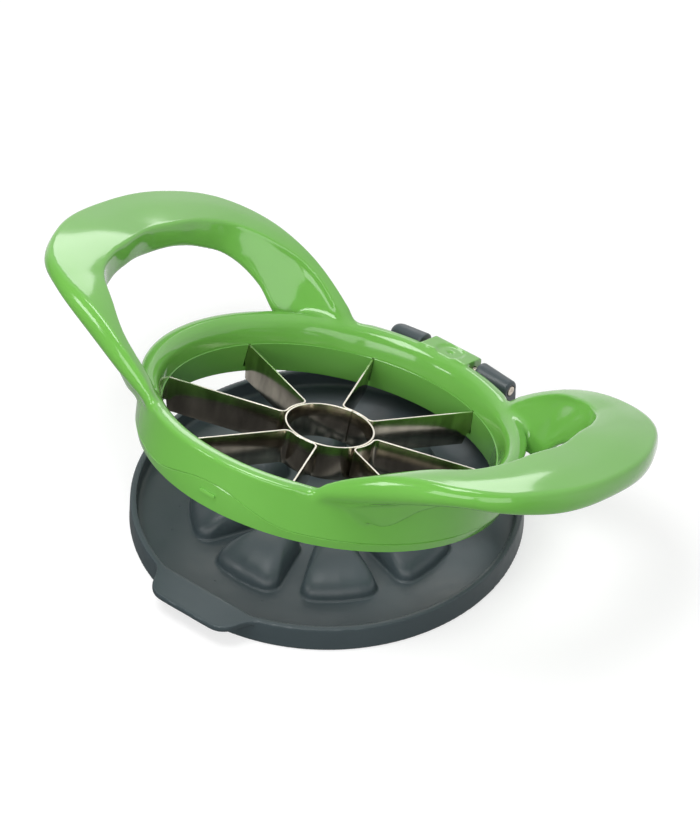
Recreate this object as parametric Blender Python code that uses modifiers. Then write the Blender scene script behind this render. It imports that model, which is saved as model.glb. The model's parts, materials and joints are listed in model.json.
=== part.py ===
"""Hinged apple slicer: a two-handled cutting frame with eight blades and a corer, over a base with pushers.

Metres, +Z up. The origin is the middle of the base's underside, on the table. +X runs towards the right
handle, -Y towards the front tab and +Y towards the hinge. The cutting frame is drawn closed, level over
the base, and is then swung open about the hinge as it stands at rest.
"""

import math

import bmesh
import bpy
from mathutils import Matrix, Vector

MM = 0.001
GAP = 0.3 * MM                      # clearance between pieces that touch
OVERRUN = 1.0 * MM                  # how far a cutter runs past what it cuts

# Cutting ring: the upper shell, and the collar under it that holds the blades. Its mouth sets the rest.
MOUTH_RADIUS = 52.0 * MM
MOUTH_DRAFT = 1.2 * MM              # how much wider the mouth is under its lip
INNER_WALL = 2.2 * MM               # from the mouth to the ring's hollow
HOLLOW_WIDTH = 2.8 * MM
HOLLOW_ROUND = 0.6 * MM
OUTER_WALL = 3.1 * MM               # from the hollow to the lip's outer edge
OUTER_LEAN = 1.1 * MM               # how far the outer wall leans out from the split to the lip
LIP_WIDTH = 4.5 * MM
LIP_ROUND = 1.6 * MM
LIP_THICKNESS = 2.6 * MM
LIP_RISE = 7.8 * MM                 # from the inner split to the lip's top
COLLAR_CLEARANCE = 4.5 * MM         # from the tray's floor to the collar, when closed
COLLAR_RISE = 10.5 * MM             # the collar's height inside the mouth
COLLAR_SKIRT = 3.5 * MM             # its height outside
COLLAR_INNER_DRAFT = 1.2 * MM
COLLAR_OUTER_DRAFT = 0.9 * MM
COLLAR_FLOOR = 2.0 * MM
COLLAR_EDGE = 0.6 * MM
WINDOW_RISE = 6.1 * MM              # the split climbs this much at the front
WINDOW_HALF_ANGLE = math.radians(27.0)
WINDOW_LEAN = math.radians(1.5)
BEAD_LENGTH = 5.9 * MM
BEAD_HEIGHT = 1.3 * MM
BEAD_PROUD = 0.7 * MM
BEAD_RISE = 1.9 * MM                # from the outer split to the bead's middle

# Base
BASE_MARGIN = 1.2 * MM              # how far the base reaches past the ring's lip
BASE_DRAFT = 0.4 * MM
RIM_HEIGHT = 5.8 * MM               # from the tray's floor to the rim's top
RIM_WIDTH = 2.1 * MM
FLOOR_TOP = 2.4 * MM
FLOOR_THICKNESS = 1.6 * MM
FLOOR_FILLET = 1.0 * MM
FOOT_WIDTH = 2.6 * MM
FOOT_EDGE = 0.4 * MM
HUB_RADIUS = 12.0 * MM

# Front tab of the base
TAB_INSET = 5.0 * MM                # from the base's edge in to the tab's straight inner edge
TAB_OVERHANG = 5.5 * MM             # from the base's edge out to the tab's front
TAB_HALF_WIDTH = 17.2 * MM
TAB_CORNER = 4.5 * MM
TAB_BLEND = 4.0 * MM
TAB_THICKNESS = 3.2 * MM
TAB_EDGE = 0.8 * MM
TAB_RIDGE = 0.6 * MM                # the low step between the tray and the tab

# Blades and corer
BLADE_COUNT = 8
BLADE_THICKNESS = 0.6 * MM
BLADE_CLEARANCE = 3.5 * MM          # from the tray's floor to the edges, when closed
BLADE_BEVEL = 1.6 * MM
BLADE_EDGE = 0.16 * MM
BLADE_SEAT = 1.2 * MM               # how deep a blade's end sits in the collar's wall
BLADE_FILLET = 2.0 * MM
CORER_RADIUS = 14.0 * MM
CORER_THICKNESS = 0.6 * MM
CORER_SEAM = 0.5 * MM
CORER_SEAM_ANGLE = math.radians(97.0)

# Pushers on the base, one between each two blades
PUSHER_RISE = 7.6 * MM
PUSHER_CORER_MARGIN = 4.6 * MM      # from the corer out to a pusher
PUSHER_MOUTH_MARGIN = 9.6 * MM      # from a pusher out to the mouth
PUSHER_HALF_ANGLE = math.radians(17.2)
PUSHER_CORNER = 4.0 * MM
PUSHER_DRAFT = 0.8 * MM
PUSHER_ROUND = 3.4 * MM             # from a pusher's flanks over to its top
PUSHER_WALL = 2.0 * MM

# Hinge
HINGE_OUTSET = 0.8 * MM             # from the base's edge out to the hinge axis
HINGE_DROP = 3.0 * MM               # from the lip's top down to the axis
REST_OPENING = math.radians(16.94)
KNUCKLE_RADIUS = 3.9 * MM
KNUCKLE_LENGTH = 17.4 * MM
KNUCKLE_CORNER = 1.6 * MM           # the round at the knuckle's back, above the pin
KNUCKLE_BITE = 5.0 * MM             # how far the knuckle's flange runs into the ring
EAR_SIDE_GAP = 2.5 * MM             # from the knuckle to each ear
EAR_LENGTH = 12.4 * MM
EAR_RADIUS = 3.5 * MM
EAR_POST_THICKNESS = 5.7 * MM
EAR_EDGE = 0.9 * MM
EAR_FOOT_FLARE = 0.6 * MM
EAR_NOTCH_CLEARANCE = 0.6 * MM
PIN_RADIUS = 1.6 * MM
PIN_PROUD = 0.2 * MM
PIN_EDGE = 0.3 * MM
DIMPLE_RADIUS = 4.7 * MM
DIMPLE_DEPTH = 0.7 * MM
DIMPLE_INSET = 1.9 * MM             # from the hinge axis to the dimple's middle
PIT_RADIUS = 1.4 * MM
PIT_DEPTH = 1.2 * MM

# Screws that hold the collar to the shell
SCREW_COUNT = 4
SCREW_RADIUS = 1.0 * MM
SCREW_LENGTH = 8.0 * MM
SCREW_POINT = 0.8 * MM
SCREW_HEAD_RADIUS = 1.7 * MM
SCREW_HEAD_HEIGHT = 1.0 * MM
SCREW_DRIVE_WIDTH = 0.5 * MM
SCREW_DRIVE_DEPTH = 0.6 * MM
BOSS_WALL = 1.2 * MM                # wall of the shell's bosses round the screws

# Handles: a loop on each side, drawn by polar stations about its eye on the lip's outer edge
HANDLE_REACH = 40.5 * MM            # from the eye to the grip's outer edge
LOOP_SPREAD_SHARE = 0.674           # the loop's scale sideways and inwards, as a share of the lip's radius
GRIP_WIDTH = 21.5 * MM
HANDLE_RISE = 25.0 * MM             # from the lip to the grip's top
GRIP_DROP = 7.3 * MM                # height of the grip's inner wall
ARM_SIDE = 6.4 * MM                 # height of the loop's outer wall
GRIP_CROWN = 0.8 * MM
SIDE_BULGE = 1.5 * MM
INNER_BULGE = 0.8 * MM
WALL_LEAN = 1.0 * MM                # how far the inner wall leans in as it drops
LOOP_END_ANGLE = 122.0
LOOP_STATIONS = 38
# Each row: polar angle in degrees, then shares of reach, width, rise, drop, side, bulge and lean
LOOP_SHARES = (
    (0.0, 1.00, 0.965, 0.97, 1.33, 1.12, 0.87, 0.1),
    (35.0, 1.085, 1.03, 0.965, 1.23, 1.16, 0.70, 0.4),
    (55.0, 1.17, 0.92, 0.925, 1.36, 0.98, 0.90, 0.7),
    (70.0, 1.185, 0.68, 0.865, 1.56, 0.95, 1.00, 1.0),
    (90.0, 1.19, 0.40, 0.73, 2.10, 1.35, 1.30, 4.0),
    (104.0, 1.26, 0.205, 0.51, 2.65, 1.30, 1.20, 8.0),
    (117.0, 1.375, 0.205, 0.17, 1.80, 0.93, 1.00, 5.0),
    (130.0, 1.60, 0.45, -0.40, 1.20, 0.50, 1.30, 0.1),
)

TURN_STEPS = 80
ROUND_STEPS = 24
SMALL_STEPS = 16
PUSHER_ROUND_STEPS = 3
KNUCKLE_STEPS = 6

# Places that follow from these sizes
CAVITY_INNER_RADIUS = MOUTH_RADIUS + INNER_WALL
CAVITY_OUTER_RADIUS = CAVITY_INNER_RADIUS + HOLLOW_WIDTH
LIP_RADIUS = CAVITY_OUTER_RADIUS + OUTER_WALL
LIP_INNER_RADIUS = LIP_RADIUS - LIP_WIDTH
SPLIT_RADIUS = LIP_RADIUS - OUTER_LEAN
COLLAR_FOOT_OUTER = SPLIT_RADIUS - COLLAR_OUTER_DRAFT
COLLAR_FOOT_INNER = MOUTH_RADIUS + COLLAR_INNER_DRAFT
COLLAR_BOTTOM = FLOOR_TOP + COLLAR_CLEARANCE
SPLIT_OUTER = COLLAR_BOTTOM + COLLAR_SKIRT
SPLIT_INNER = COLLAR_BOTTOM + COLLAR_RISE
LIP_TOP = SPLIT_INNER + LIP_RISE
CAVITY_TOP = LIP_TOP - LIP_THICKNESS
LOOP_SPREAD = LIP_RADIUS * LOOP_SPREAD_SHARE
BEAD_Z = SPLIT_OUTER + BEAD_RISE

BASE_RADIUS = LIP_RADIUS + BASE_MARGIN
RIM_RADIUS = BASE_RADIUS - BASE_DRAFT
TRAY_RADIUS = RIM_RADIUS - RIM_WIDTH
RIM_TOP = FLOOR_TOP + RIM_HEIGHT
TAB_INNER_CHORD = BASE_RADIUS - TAB_INSET
TAB_REACH = BASE_RADIUS + TAB_OVERHANG

BLADE_BOTTOM = FLOOR_TOP + BLADE_CLEARANCE
BLADE_TOP = SPLIT_INNER - GAP / 2
SECTOR = math.tau / BLADE_COUNT
PUSHER_TOP = FLOOR_TOP + PUSHER_RISE
PUSHER_INNER_RADIUS = CORER_RADIUS + PUSHER_CORER_MARGIN
PUSHER_OUTER_RADIUS = MOUTH_RADIUS - PUSHER_MOUTH_MARGIN

HINGE_Y = BASE_RADIUS + HINGE_OUTSET
HINGE_Z = LIP_TOP - HINGE_DROP
EAR_INNER_X = KNUCKLE_LENGTH / 2 + EAR_SIDE_GAP
EAR_OUTER_X = EAR_INNER_X + EAR_LENGTH

BOSS_RADIUS = SCREW_RADIUS + BOSS_WALL
BOSS_CIRCLE = (CAVITY_INNER_RADIUS + CAVITY_OUTER_RADIUS - GAP) / 2
BOSS_BOTTOM = COLLAR_BOTTOM + COLLAR_FLOOR + GAP
SCREW_HEAD_TOP = COLLAR_BOTTOM + SCREW_HEAD_HEIGHT

GREEN = (0.115, 0.445, 0.055, 1.0)
SLATE = (0.050, 0.075, 0.080, 1.0)
STEEL = (0.55, 0.54, 0.51, 1.0)


def clear_scene():
    for old in list(bpy.data.objects):
        bpy.data.objects.remove(old, do_unlink=True)


def make_collection(name):
    group = bpy.data.collections.new(name)
    bpy.context.scene.collection.children.link(group)
    return group


def make_material(name, colour, roughness, metallic):
    material = bpy.data.materials.new(name)
    material.use_nodes = True
    shader = material.node_tree.nodes["Principled BSDF"]
    shader.inputs["Base Color"].default_value = colour
    shader.inputs["Roughness"].default_value = roughness
    shader.inputs["Metallic"].default_value = metallic
    return material


def mesh_object(name, group, bm, material=None):
    bmesh.ops.recalc_face_normals(bm, faces=bm.faces)
    mesh = bpy.data.meshes.new(name)
    bm.to_mesh(mesh)
    bm.free()
    made = bpy.data.objects.new(name, mesh)
    group.objects.link(made)
    if material:
        mesh.materials.append(material)
    return made


def as_tool(tool):
    """Marks an object that only cuts or joins others."""
    tool.hide_render = True
    tool.display_type = "WIRE"
    return tool


def combine(target, tool, operation):
    change = target.modifiers.new(operation.lower() + "_" + tool.name, "BOOLEAN")
    change.operation = operation
    change.solver = "EXACT"
    change.object = tool


def lofted(sections, closed):
    """A bmesh skinned over point loops of equal length, capped at both ends unless it closes on itself."""
    bm = bmesh.new()
    rings = [[bm.verts.new(point) for point in section] for section in sections]
    pairs = list(zip(rings, rings[1:]))
    if closed:
        pairs.append((rings[-1], rings[0]))
    else:
        bm.faces.new(reversed(rings[0]))
        bm.faces.new(rings[-1])
    for near, far in pairs:
        count = len(near)
        for i in range(count):
            j = (i + 1) % count
            bm.faces.new((near[i], near[j], far[j], far[i]))
    return bm


def turned(name, group, profile, material=None):
    """A turned shape: the profile runs down its outer side, from top to bottom."""
    mesh = bpy.data.meshes.new(name)
    points = [(radius, 0, height) for radius, height in profile]
    mesh.from_pydata(points, [(i, i + 1) for i in range(len(points) - 1)], [])
    made = bpy.data.objects.new(name, mesh)
    group.objects.link(made)
    screw = made.modifiers.new("turn", "SCREW")
    screw.axis = "Z"
    screw.angle = math.tau
    screw.steps = TURN_STEPS
    screw.render_steps = TURN_STEPS
    screw.use_merge_vertices = True
    screw.merge_threshold = 0.000001
    if material:
        mesh.materials.append(material)
    return made


def closed_profile(name, group, profile, material=None):
    """A turned ring, whose profile closes on itself away from the axis."""
    return turned(name, group, list(profile) + [profile[0]], material)


def bar(name, group, radius, start, end, steps):
    """A round bar from start to end."""
    start, end = Vector(start), Vector(end)
    bm = bmesh.new()
    bmesh.ops.create_cone(bm, cap_ends=True, segments=steps, radius1=radius, radius2=radius,
                          depth=(end - start).length)
    turn = Vector((0, 0, 1)).rotation_difference(end - start).to_matrix().to_4x4()
    bmesh.ops.transform(bm, matrix=Matrix.Translation((start + end) / 2) @ turn, verts=bm.verts)
    return mesh_object(name, group, bm)


def block(name, group, low, high):
    low, high = Vector(low), Vector(high)
    bm = bmesh.new()
    bmesh.ops.create_cube(bm, size=1)
    bmesh.ops.scale(bm, vec=high - low, verts=bm.verts)
    bmesh.ops.translate(bm, vec=(low + high) / 2, verts=bm.verts)
    return mesh_object(name, group, bm)


def polar(radius, angle):
    return Vector((radius * math.cos(angle), radius * math.sin(angle), 0))


def rounded_corner(before, corner, after, radius, steps):
    """Points of the arc that rounds a corner of an outline."""
    to_before = (before - corner).normalized()
    to_after = (after - corner).normalized()
    half = to_before.angle(to_after) / 2
    centre = corner + (to_before + to_after).normalized() * (radius / math.sin(half))
    first = corner + to_before * (radius / math.tan(half)) - centre
    last = corner + to_after * (radius / math.tan(half)) - centre
    whole = first.angle(last)
    points = []
    for i in range(steps + 1):
        share = i / steps
        points.append(centre + (first * math.sin((1 - share) * whole) + last * math.sin(share * whole))
                      / math.sin(whole))
    return points


def spline(rows, column, angle):
    """Smooth value of a table's column at an angle, by a cubic curve through its rows."""
    xs = [row[0] for row in rows]
    ys = [row[column] for row in rows]
    steps = [(ys[i + 1] - ys[i]) / (xs[i + 1] - xs[i]) for i in range(len(xs) - 1)]
    slopes = [0.0] + [(steps[i] + steps[i + 1]) / 2 for i in range(len(steps) - 1)] + [steps[-1]]
    at = min(max(angle, xs[0]), xs[-1])
    i = max(k for k in range(len(xs) - 1) if xs[k] <= at)
    width = xs[i + 1] - xs[i]
    t = (at - xs[i]) / width
    return (
        (2 * t**3 - 3 * t**2 + 1) * ys[i]
        + (t**3 - 2 * t**2 + t) * width * slopes[i]
        + (3 * t**2 - 2 * t**3) * ys[i + 1]
        + (t**3 - t**2) * width * slopes[i + 1]
    )


# Base


def base_body(parts, material):
    rim_mid = RIM_RADIUS - RIM_WIDTH / 2
    rim_shoulder = RIM_TOP - RIM_WIDTH / 2
    profile = [
        (0, FLOOR_TOP),
        (TRAY_RADIUS - FLOOR_FILLET, FLOOR_TOP),
        (TRAY_RADIUS - FLOOR_FILLET * 0.3, FLOOR_TOP + FLOOR_FILLET * 0.3),
        (TRAY_RADIUS, FLOOR_TOP + FLOOR_FILLET),
        (TRAY_RADIUS, rim_shoulder),
        (TRAY_RADIUS + RIM_WIDTH * 0.15, RIM_TOP - RIM_WIDTH * 0.15),
        (rim_mid, RIM_TOP),
        (RIM_RADIUS - RIM_WIDTH * 0.15, RIM_TOP - RIM_WIDTH * 0.15),
        (RIM_RADIUS, rim_shoulder),
        (BASE_RADIUS, FOOT_EDGE),
        (BASE_RADIUS - FOOT_EDGE, 0),
        (BASE_RADIUS - FOOT_WIDTH, 0),
        (BASE_RADIUS - FOOT_WIDTH, FLOOR_TOP - FLOOR_THICKNESS),
        (HUB_RADIUS, FLOOR_TOP - FLOOR_THICKNESS),
        (HUB_RADIUS, 0),
        (0, 0),
    ]
    return turned("base_plate", parts, profile, material)


def ear_outline():
    """A hinge ear seen from its side: a post with a round head about the pin."""
    back = HINGE_Y + EAR_RADIUS
    front = back - EAR_POST_THICKNESS
    foot = FOOT_EDGE * 2
    turn = math.pi + math.asin(math.sqrt(1 - ((HINGE_Y - front) / EAR_RADIUS) ** 2))
    steps = 14
    points = [(front, foot), (back, foot)]
    for i in range(steps + 1):
        angle = turn * i / steps
        points.append((HINGE_Y + EAR_RADIUS * math.cos(angle), HINGE_Z + EAR_RADIUS * math.sin(angle)))
    return points


def ear_post(tools, side, name):
    """One ear, drawn in a little at both ends so that its edges are rounded."""
    outline = ear_outline()
    middle_y = HINGE_Y - EAR_EDGE
    sections = []
    for x, inset in ((EAR_INNER_X, EAR_EDGE / 3), (EAR_INNER_X + EAR_EDGE / 3, 0),
                     (EAR_OUTER_X - EAR_EDGE, 0), (EAR_OUTER_X - EAR_EDGE * 0.3, EAR_EDGE * 0.3),
                     (EAR_OUTER_X, EAR_EDGE)):
        shrink = 1 - inset / EAR_RADIUS
        section = []
        for y, z in outline:
            height = HINGE_Z + (z - HINGE_Z) * shrink if z > RIM_TOP else z
            section.append(Vector((side * x, middle_y + (y - middle_y) * shrink, height)))
        sections.append(section)
    return as_tool(mesh_object("ear_post_" + name, tools, lofted(sections, closed=False)))


def ear_foot(tools, side, name):
    """The block that joins an ear to the rim."""
    seat = TRAY_RADIUS + RIM_WIDTH / 2
    inner, outer = EAR_INNER_X - EAR_FOOT_FLARE, EAR_OUTER_X + EAR_FOOT_FLARE
    back = HINGE_Y + EAR_RADIUS + EAR_FOOT_FLARE
    outline = [(inner, math.sqrt(seat**2 - inner**2)), (outer, math.sqrt(seat**2 - outer**2)),
               (outer, back), (inner, back)]
    levels = (FOOT_EDGE * 1.5, RIM_TOP - RIM_WIDTH / 2)
    sections = [[Vector((side * x, y, z)) for x, y in outline] for z in levels]
    return as_tool(mesh_object("ear_foot_" + name, tools, lofted(sections, closed=False)))


def tab_plate(tools):
    """The tab's flat plate, level with the rim, with rounded corners and blends into the rim."""
    root_angle = math.asin((TAB_HALF_WIDTH + TAB_BLEND) / RIM_RADIUS)
    root = Vector((RIM_RADIUS * math.sin(root_angle), -RIM_RADIUS * math.cos(root_angle), 0))
    neck = Vector((TAB_HALF_WIDTH, root.y - TAB_BLEND * 0.6, 0))
    corner = Vector((TAB_HALF_WIDTH, -TAB_REACH, 0))
    middle = Vector((0, -TAB_REACH, 0))
    inner = Vector((root.x, max(-TAB_INNER_CHORD - TAB_RIDGE, root.y + TAB_RIDGE / 3), 0))
    half = [inner, root]
    half += rounded_corner(root, neck, corner, TAB_BLEND / 2, 3)
    half += rounded_corner(neck, corner, middle, TAB_CORNER, 5)
    outline = half + [Vector((-p.x, p.y, 0)) for p in reversed(half)]
    low = Vector((0, 0, RIM_TOP - TAB_THICKNESS))
    high = Vector((0, 0, RIM_TOP))
    shrunk = [p * (1 - TAB_EDGE / TAB_REACH) for p in outline]
    sections = [
        [p + low for p in shrunk],
        [p + low + Vector((0, 0, TAB_EDGE)) for p in outline],
        [p + high - Vector((0, 0, TAB_EDGE)) for p in outline],
        [p + high for p in shrunk],
    ]
    return as_tool(mesh_object("tab_plate", tools, lofted(sections, closed=False)))


def tab_segment(tools):
    """Fills the rim's bow behind the tab up to a straight inner edge."""
    half_chord = math.sqrt(TRAY_RADIUS**2 - TAB_INNER_CHORD**2)
    span = math.atan2(half_chord + RIM_WIDTH / 2, TAB_INNER_CHORD)
    steps = 10
    middle = RIM_RADIUS - RIM_WIDTH / 2
    bow = [polar(middle, -math.pi / 2 - span + 2 * span * i / steps) for i in range(steps + 1)]
    bow[0].y = bow[-1].y = -TAB_INNER_CHORD
    low = Vector((0, 0, FLOOR_TOP - FLOOR_THICKNESS / 2))
    high = Vector((0, 0, RIM_TOP - TAB_RIDGE / 2))
    sections = [[p + low for p in bow], [p + high for p in bow]]
    return as_tool(mesh_object("tab_segment", tools, lofted(sections, closed=False)))


def wedge_outline(inset, corner):
    """A pusher's outline seen from above, pointing along +X, drawn in by an inset."""
    inner = PUSHER_INNER_RADIUS + inset
    outer = PUSHER_OUTER_RADIUS - inset
    side = inset / math.cos(PUSHER_HALF_ANGLE)

    def flank(radius):
        return radius * math.tan(PUSHER_HALF_ANGLE) - side

    a = Vector((inner, -flank(inner), 0))
    b = Vector((outer * math.cos(PUSHER_HALF_ANGLE), -flank(outer * math.cos(PUSHER_HALF_ANGLE)), 0))
    tip = Vector((outer, 0, 0))
    side_point = (b + tip) / 2 + Vector((outer * (1 - math.cos(PUSHER_HALF_ANGLE / 2)), 0, 0))
    half = rounded_corner(Vector((inner, 0, 0)), a, b, min(corner, -a.y * 0.8), 3)
    half += rounded_corner(a, b, side_point, min(corner, -b.y * 0.43), 4)
    half += [side_point]
    mirrored = [Vector((p.x, -p.y, 0)) for p in reversed(half)]
    return half + [tip] + mirrored


def pusher_sections(levels):
    return [[p + Vector((0, 0, z)) for p in wedge_outline(inset, corner)] for inset, corner, z in levels]


def pushers(tools):
    """The raised wedges, and the hollows under them that keep their walls even."""
    solid_levels = [
        (0, PUSHER_CORNER, FLOOR_TOP - FLOOR_THICKNESS / 2),
        (0, PUSHER_CORNER, FLOOR_TOP),
    ]
    for i in range(PUSHER_ROUND_STEPS + 1):
        bend = math.pi / 2 * i / PUSHER_ROUND_STEPS
        inset = PUSHER_DRAFT + PUSHER_ROUND * (1 - math.cos(bend))
        solid_levels.append((inset, PUSHER_CORNER, PUSHER_TOP - PUSHER_ROUND * (1 - math.sin(bend))))
    hollow_levels = (
        (PUSHER_WALL, PUSHER_CORNER - PUSHER_WALL / 2, FLOOR_TOP - FLOOR_THICKNESS - OVERRUN),
        (PUSHER_WALL + PUSHER_DRAFT, PUSHER_CORNER - PUSHER_WALL / 2, PUSHER_TOP - PUSHER_WALL),
    )
    solids, hollows = [], []
    for k in range(BLADE_COUNT):
        turn = Matrix.Rotation(k * SECTOR, 4, "Z")
        kinds = (("pusher", solid_levels, solids), ("pusher_hollow", hollow_levels, hollows))
        for name, levels, kept in kinds:
            made = mesh_object(f"{name}_{k}", tools, lofted(pusher_sections(levels), closed=False))
            made.data.transform(turn)
            kept.append(as_tool(made))
    return solids, hollows


def build_base(parts, tools, material):
    base = base_body(parts, material)
    for side, name in ((-1, "left"), (1, "right")):
        combine(base, ear_foot(tools, side, name), "UNION")
        combine(base, ear_post(tools, side, name), "UNION")
    combine(base, tab_plate(tools), "UNION")
    combine(base, tab_segment(tools), "UNION")
    solids, hollows = pushers(tools)
    for solid in solids:
        combine(base, solid, "UNION")
    for hollow in hollows:
        combine(base, hollow, "DIFFERENCE")
    combine(base, pin_bore(tools, "ear_bore"), "DIFFERENCE")
    return base


# Hinge


def pin_bore(tools, name):
    reach = EAR_OUTER_X + OVERRUN
    return as_tool(bar(name, tools, PIN_RADIUS + GAP, (-reach, HINGE_Y, HINGE_Z), (reach, HINGE_Y, HINGE_Z),
                       SMALL_STEPS))


def hinge_pin(parts, material):
    """The pin, drawn along X with chamfered ends."""
    half = EAR_OUTER_X + PIN_PROUD
    ends = ((-half, PIN_RADIUS - PIN_EDGE), (-half + PIN_EDGE, PIN_RADIUS),
            (half - PIN_EDGE, PIN_RADIUS), (half, PIN_RADIUS - PIN_EDGE))
    sections = []
    for x, radius in ends:
        ring = [polar(radius, math.tau * i / SMALL_STEPS) for i in range(SMALL_STEPS)]
        sections.append([Vector((x, HINGE_Y + p.x, HINGE_Z + p.y)) for p in ring])
    return mesh_object("hinge_pin", parts, lofted(sections, closed=False), material)


# Cutting frame, drawn closed


def split_height(angle):
    """Height of the split between shell and collar outside, which climbs in a window at the front."""
    away = abs(math.remainder(angle + math.pi / 2 - WINDOW_LEAN, math.tau))
    share = min(away / WINDOW_HALF_ANGLE, 1)
    return SPLIT_OUTER + WINDOW_RISE * (1 + math.cos(math.pi * share)) / 2


def wall_radius(height):
    """Outer radius of the ring's leaning outer wall."""
    lean = (LIP_RADIUS - SPLIT_RADIUS) / (LIP_TOP - SPLIT_OUTER)
    return SPLIT_RADIUS + lean * (height - SPLIT_OUTER)


def around(section_at):
    """Sections of a ring all round, from a function that gives radius and height pairs at an angle."""
    sections = []
    for i in range(TURN_STEPS):
        angle = math.tau * i / TURN_STEPS
        sections.append([polar(r, angle) + Vector((0, 0, z)) for r, z in section_at(angle)])
    return sections


def shell_section(angle):
    low = split_height(angle) + GAP / 2
    core = MOUTH_RADIUS - RIM_WIDTH
    return [
        (core, low),
        (wall_radius(low), low),
        (wall_radius(LIP_TOP - LIP_ROUND * 2), LIP_TOP - LIP_ROUND * 2),
        (LIP_RADIUS, LIP_TOP - LIP_ROUND),
        (LIP_RADIUS - LIP_ROUND * 0.3, LIP_TOP - LIP_ROUND * 0.3),
        (LIP_RADIUS - LIP_ROUND, LIP_TOP),
        (core, LIP_TOP),
    ]


def mouth_and_cavity(tools):
    """Cuts the ring's mouth, the hollow inside its wall and the room for the collar."""
    seat = SPLIT_INNER + GAP / 2
    top = LIP_TOP + OVERRUN * 3
    drop = LIP_TOP - SPLIT_INNER
    core = MOUTH_RADIUS - RIM_WIDTH * 2
    profile = [
        (core, top),
        (LIP_INNER_RADIUS + MOUTH_DRAFT, top),
        (LIP_INNER_RADIUS, LIP_TOP),
        (MOUTH_RADIUS + MOUTH_DRAFT * 1.9, LIP_TOP - drop * 0.08),
        (MOUTH_RADIUS + MOUTH_DRAFT * 1.1, LIP_TOP - drop * 0.22),
        (MOUTH_RADIUS + MOUTH_DRAFT * 0.6, LIP_TOP - drop * 0.5),
        (MOUTH_RADIUS, seat),
        (CAVITY_INNER_RADIUS, seat),
        (CAVITY_INNER_RADIUS, CAVITY_TOP - HOLLOW_ROUND),
        (CAVITY_INNER_RADIUS + HOLLOW_ROUND, CAVITY_TOP),
        (CAVITY_OUTER_RADIUS - HOLLOW_ROUND, CAVITY_TOP),
        (CAVITY_OUTER_RADIUS, CAVITY_TOP - HOLLOW_ROUND),
        (CAVITY_OUTER_RADIUS, SPLIT_OUTER - OVERRUN),
        (core, SPLIT_OUTER - OVERRUN),
    ]
    return as_tool(closed_profile("mouth_and_cavity", tools, profile))


def loop_section(side, theta):
    """One station of a handle's loop: its inner edge, top, bulging side, underside and inner wall."""
    bend = abs(theta)
    unit = polar(spline(LOOP_SHARES, 1, bend), math.radians(theta))
    width = GRIP_WIDTH * spline(LOOP_SHARES, 2, bend)
    top = LIP_TOP + HANDLE_RISE * spline(LOOP_SHARES, 3, bend)
    drop = GRIP_DROP * spline(LOOP_SHARES, 4, bend)
    wall = ARM_SIDE * spline(LOOP_SHARES, 5, bend)
    arm = Vector((unit.x * (HANDLE_REACH if unit.x > 0 else LOOP_SPREAD), unit.y * LOOP_SPREAD, 0))
    out = arm.normalized()
    start = Vector((LIP_RADIUS, 0, 0)) + arm - out * width
    bulge = SIDE_BULGE * spline(LOOP_SHARES, 6, bend)
    lean = WALL_LEAN * spline(LOOP_SHARES, 7, bend)
    points = (
        (0, 0),
        (width * 0.3, GRIP_CROWN * 0.8),
        (width * 0.6, GRIP_CROWN),
        (width, 0),
        (width + bulge * 0.7, -wall * 0.25),
        (width + bulge, -wall * 0.55),
        (width + bulge * 0.7, -wall * 0.85),
        (width - bulge * 0.3, -wall * 1.1),
        (width * 0.45 - lean * 0.4, -(wall * 1.1 + drop) / 2),
        (INNER_BULGE * 1.2 - lean, -drop),
        (-INNER_BULGE * 0.7 - lean, -drop * 0.86),
        (-INNER_BULGE - lean / 2, -drop * 0.5),
        (-INNER_BULGE * 0.6, -drop * 0.15),
    )
    section = [start + out * across + Vector((0, 0, top + up)) for across, up in points]
    return [Vector((side * p.x, p.y, p.z)) for p in section]


def loop_handle(tools, side, name):
    sections = []
    for i in range(LOOP_STATIONS + 1):
        theta = LOOP_END_ANGLE * (2 * i / LOOP_STATIONS - 1)
        sections.append(loop_section(side, theta))
    return as_tool(mesh_object(name, tools, lofted(sections, closed=False)))


def knuckle(tools):
    """The middle knuckle, flat on top as far as its rounded back, with the flange that carries it."""
    inner = wall_radius(HINGE_Z) - KNUCKLE_BITE
    top, low = HINGE_Z + KNUCKLE_RADIUS, HINGE_Z - KNUCKLE_RADIUS
    outline = [(inner, low), (inner, top)]
    rounds = (
        (HINGE_Y + KNUCKLE_RADIUS - KNUCKLE_CORNER, top - KNUCKLE_CORNER, KNUCKLE_CORNER, math.pi / 2),
        (HINGE_Y, HINGE_Z, KNUCKLE_RADIUS, 0),
    )
    for y, z, radius, start in rounds:
        for i in range(KNUCKLE_STEPS + 1):
            angle = start - math.pi / 2 * i / KNUCKLE_STEPS
            outline.append((y + radius * math.cos(angle), z + radius * math.sin(angle)))
    half = KNUCKLE_LENGTH / 2
    sections = [[Vector((x, y, z)) for y, z in outline] for x in (-half, half)]
    return as_tool(mesh_object("knuckle_flange", tools, lofted(sections, closed=False)))


def ear_notches(tools):
    """Room in the ring for the base's ears to turn in."""
    made = []
    for side, name in ((-1, "left"), (1, "right")):
        near, far = side * KNUCKLE_LENGTH / 2, side * (EAR_OUTER_X + EAR_NOTCH_CLEARANCE)
        made.append(as_tool(bar("ear_notch_" + name, tools, EAR_RADIUS + EAR_NOTCH_CLEARANCE,
                                (near, HINGE_Y, HINGE_Z), (far, HINGE_Y, HINGE_Z), ROUND_STEPS)))
    return made


def dimple(tools):
    y = HINGE_Y - DIMPLE_INSET
    top = HINGE_Z + KNUCKLE_RADIUS
    above = (0, y, top + OVERRUN)
    recess = bar("dimple", tools, DIMPLE_RADIUS, (0, y, top - DIMPLE_DEPTH), above, ROUND_STEPS)
    pit = bar("dimple_pit", tools, PIT_RADIUS, (0, y, top - PIT_DEPTH), above, SMALL_STEPS)
    return [as_tool(recess), as_tool(pit)]


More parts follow.
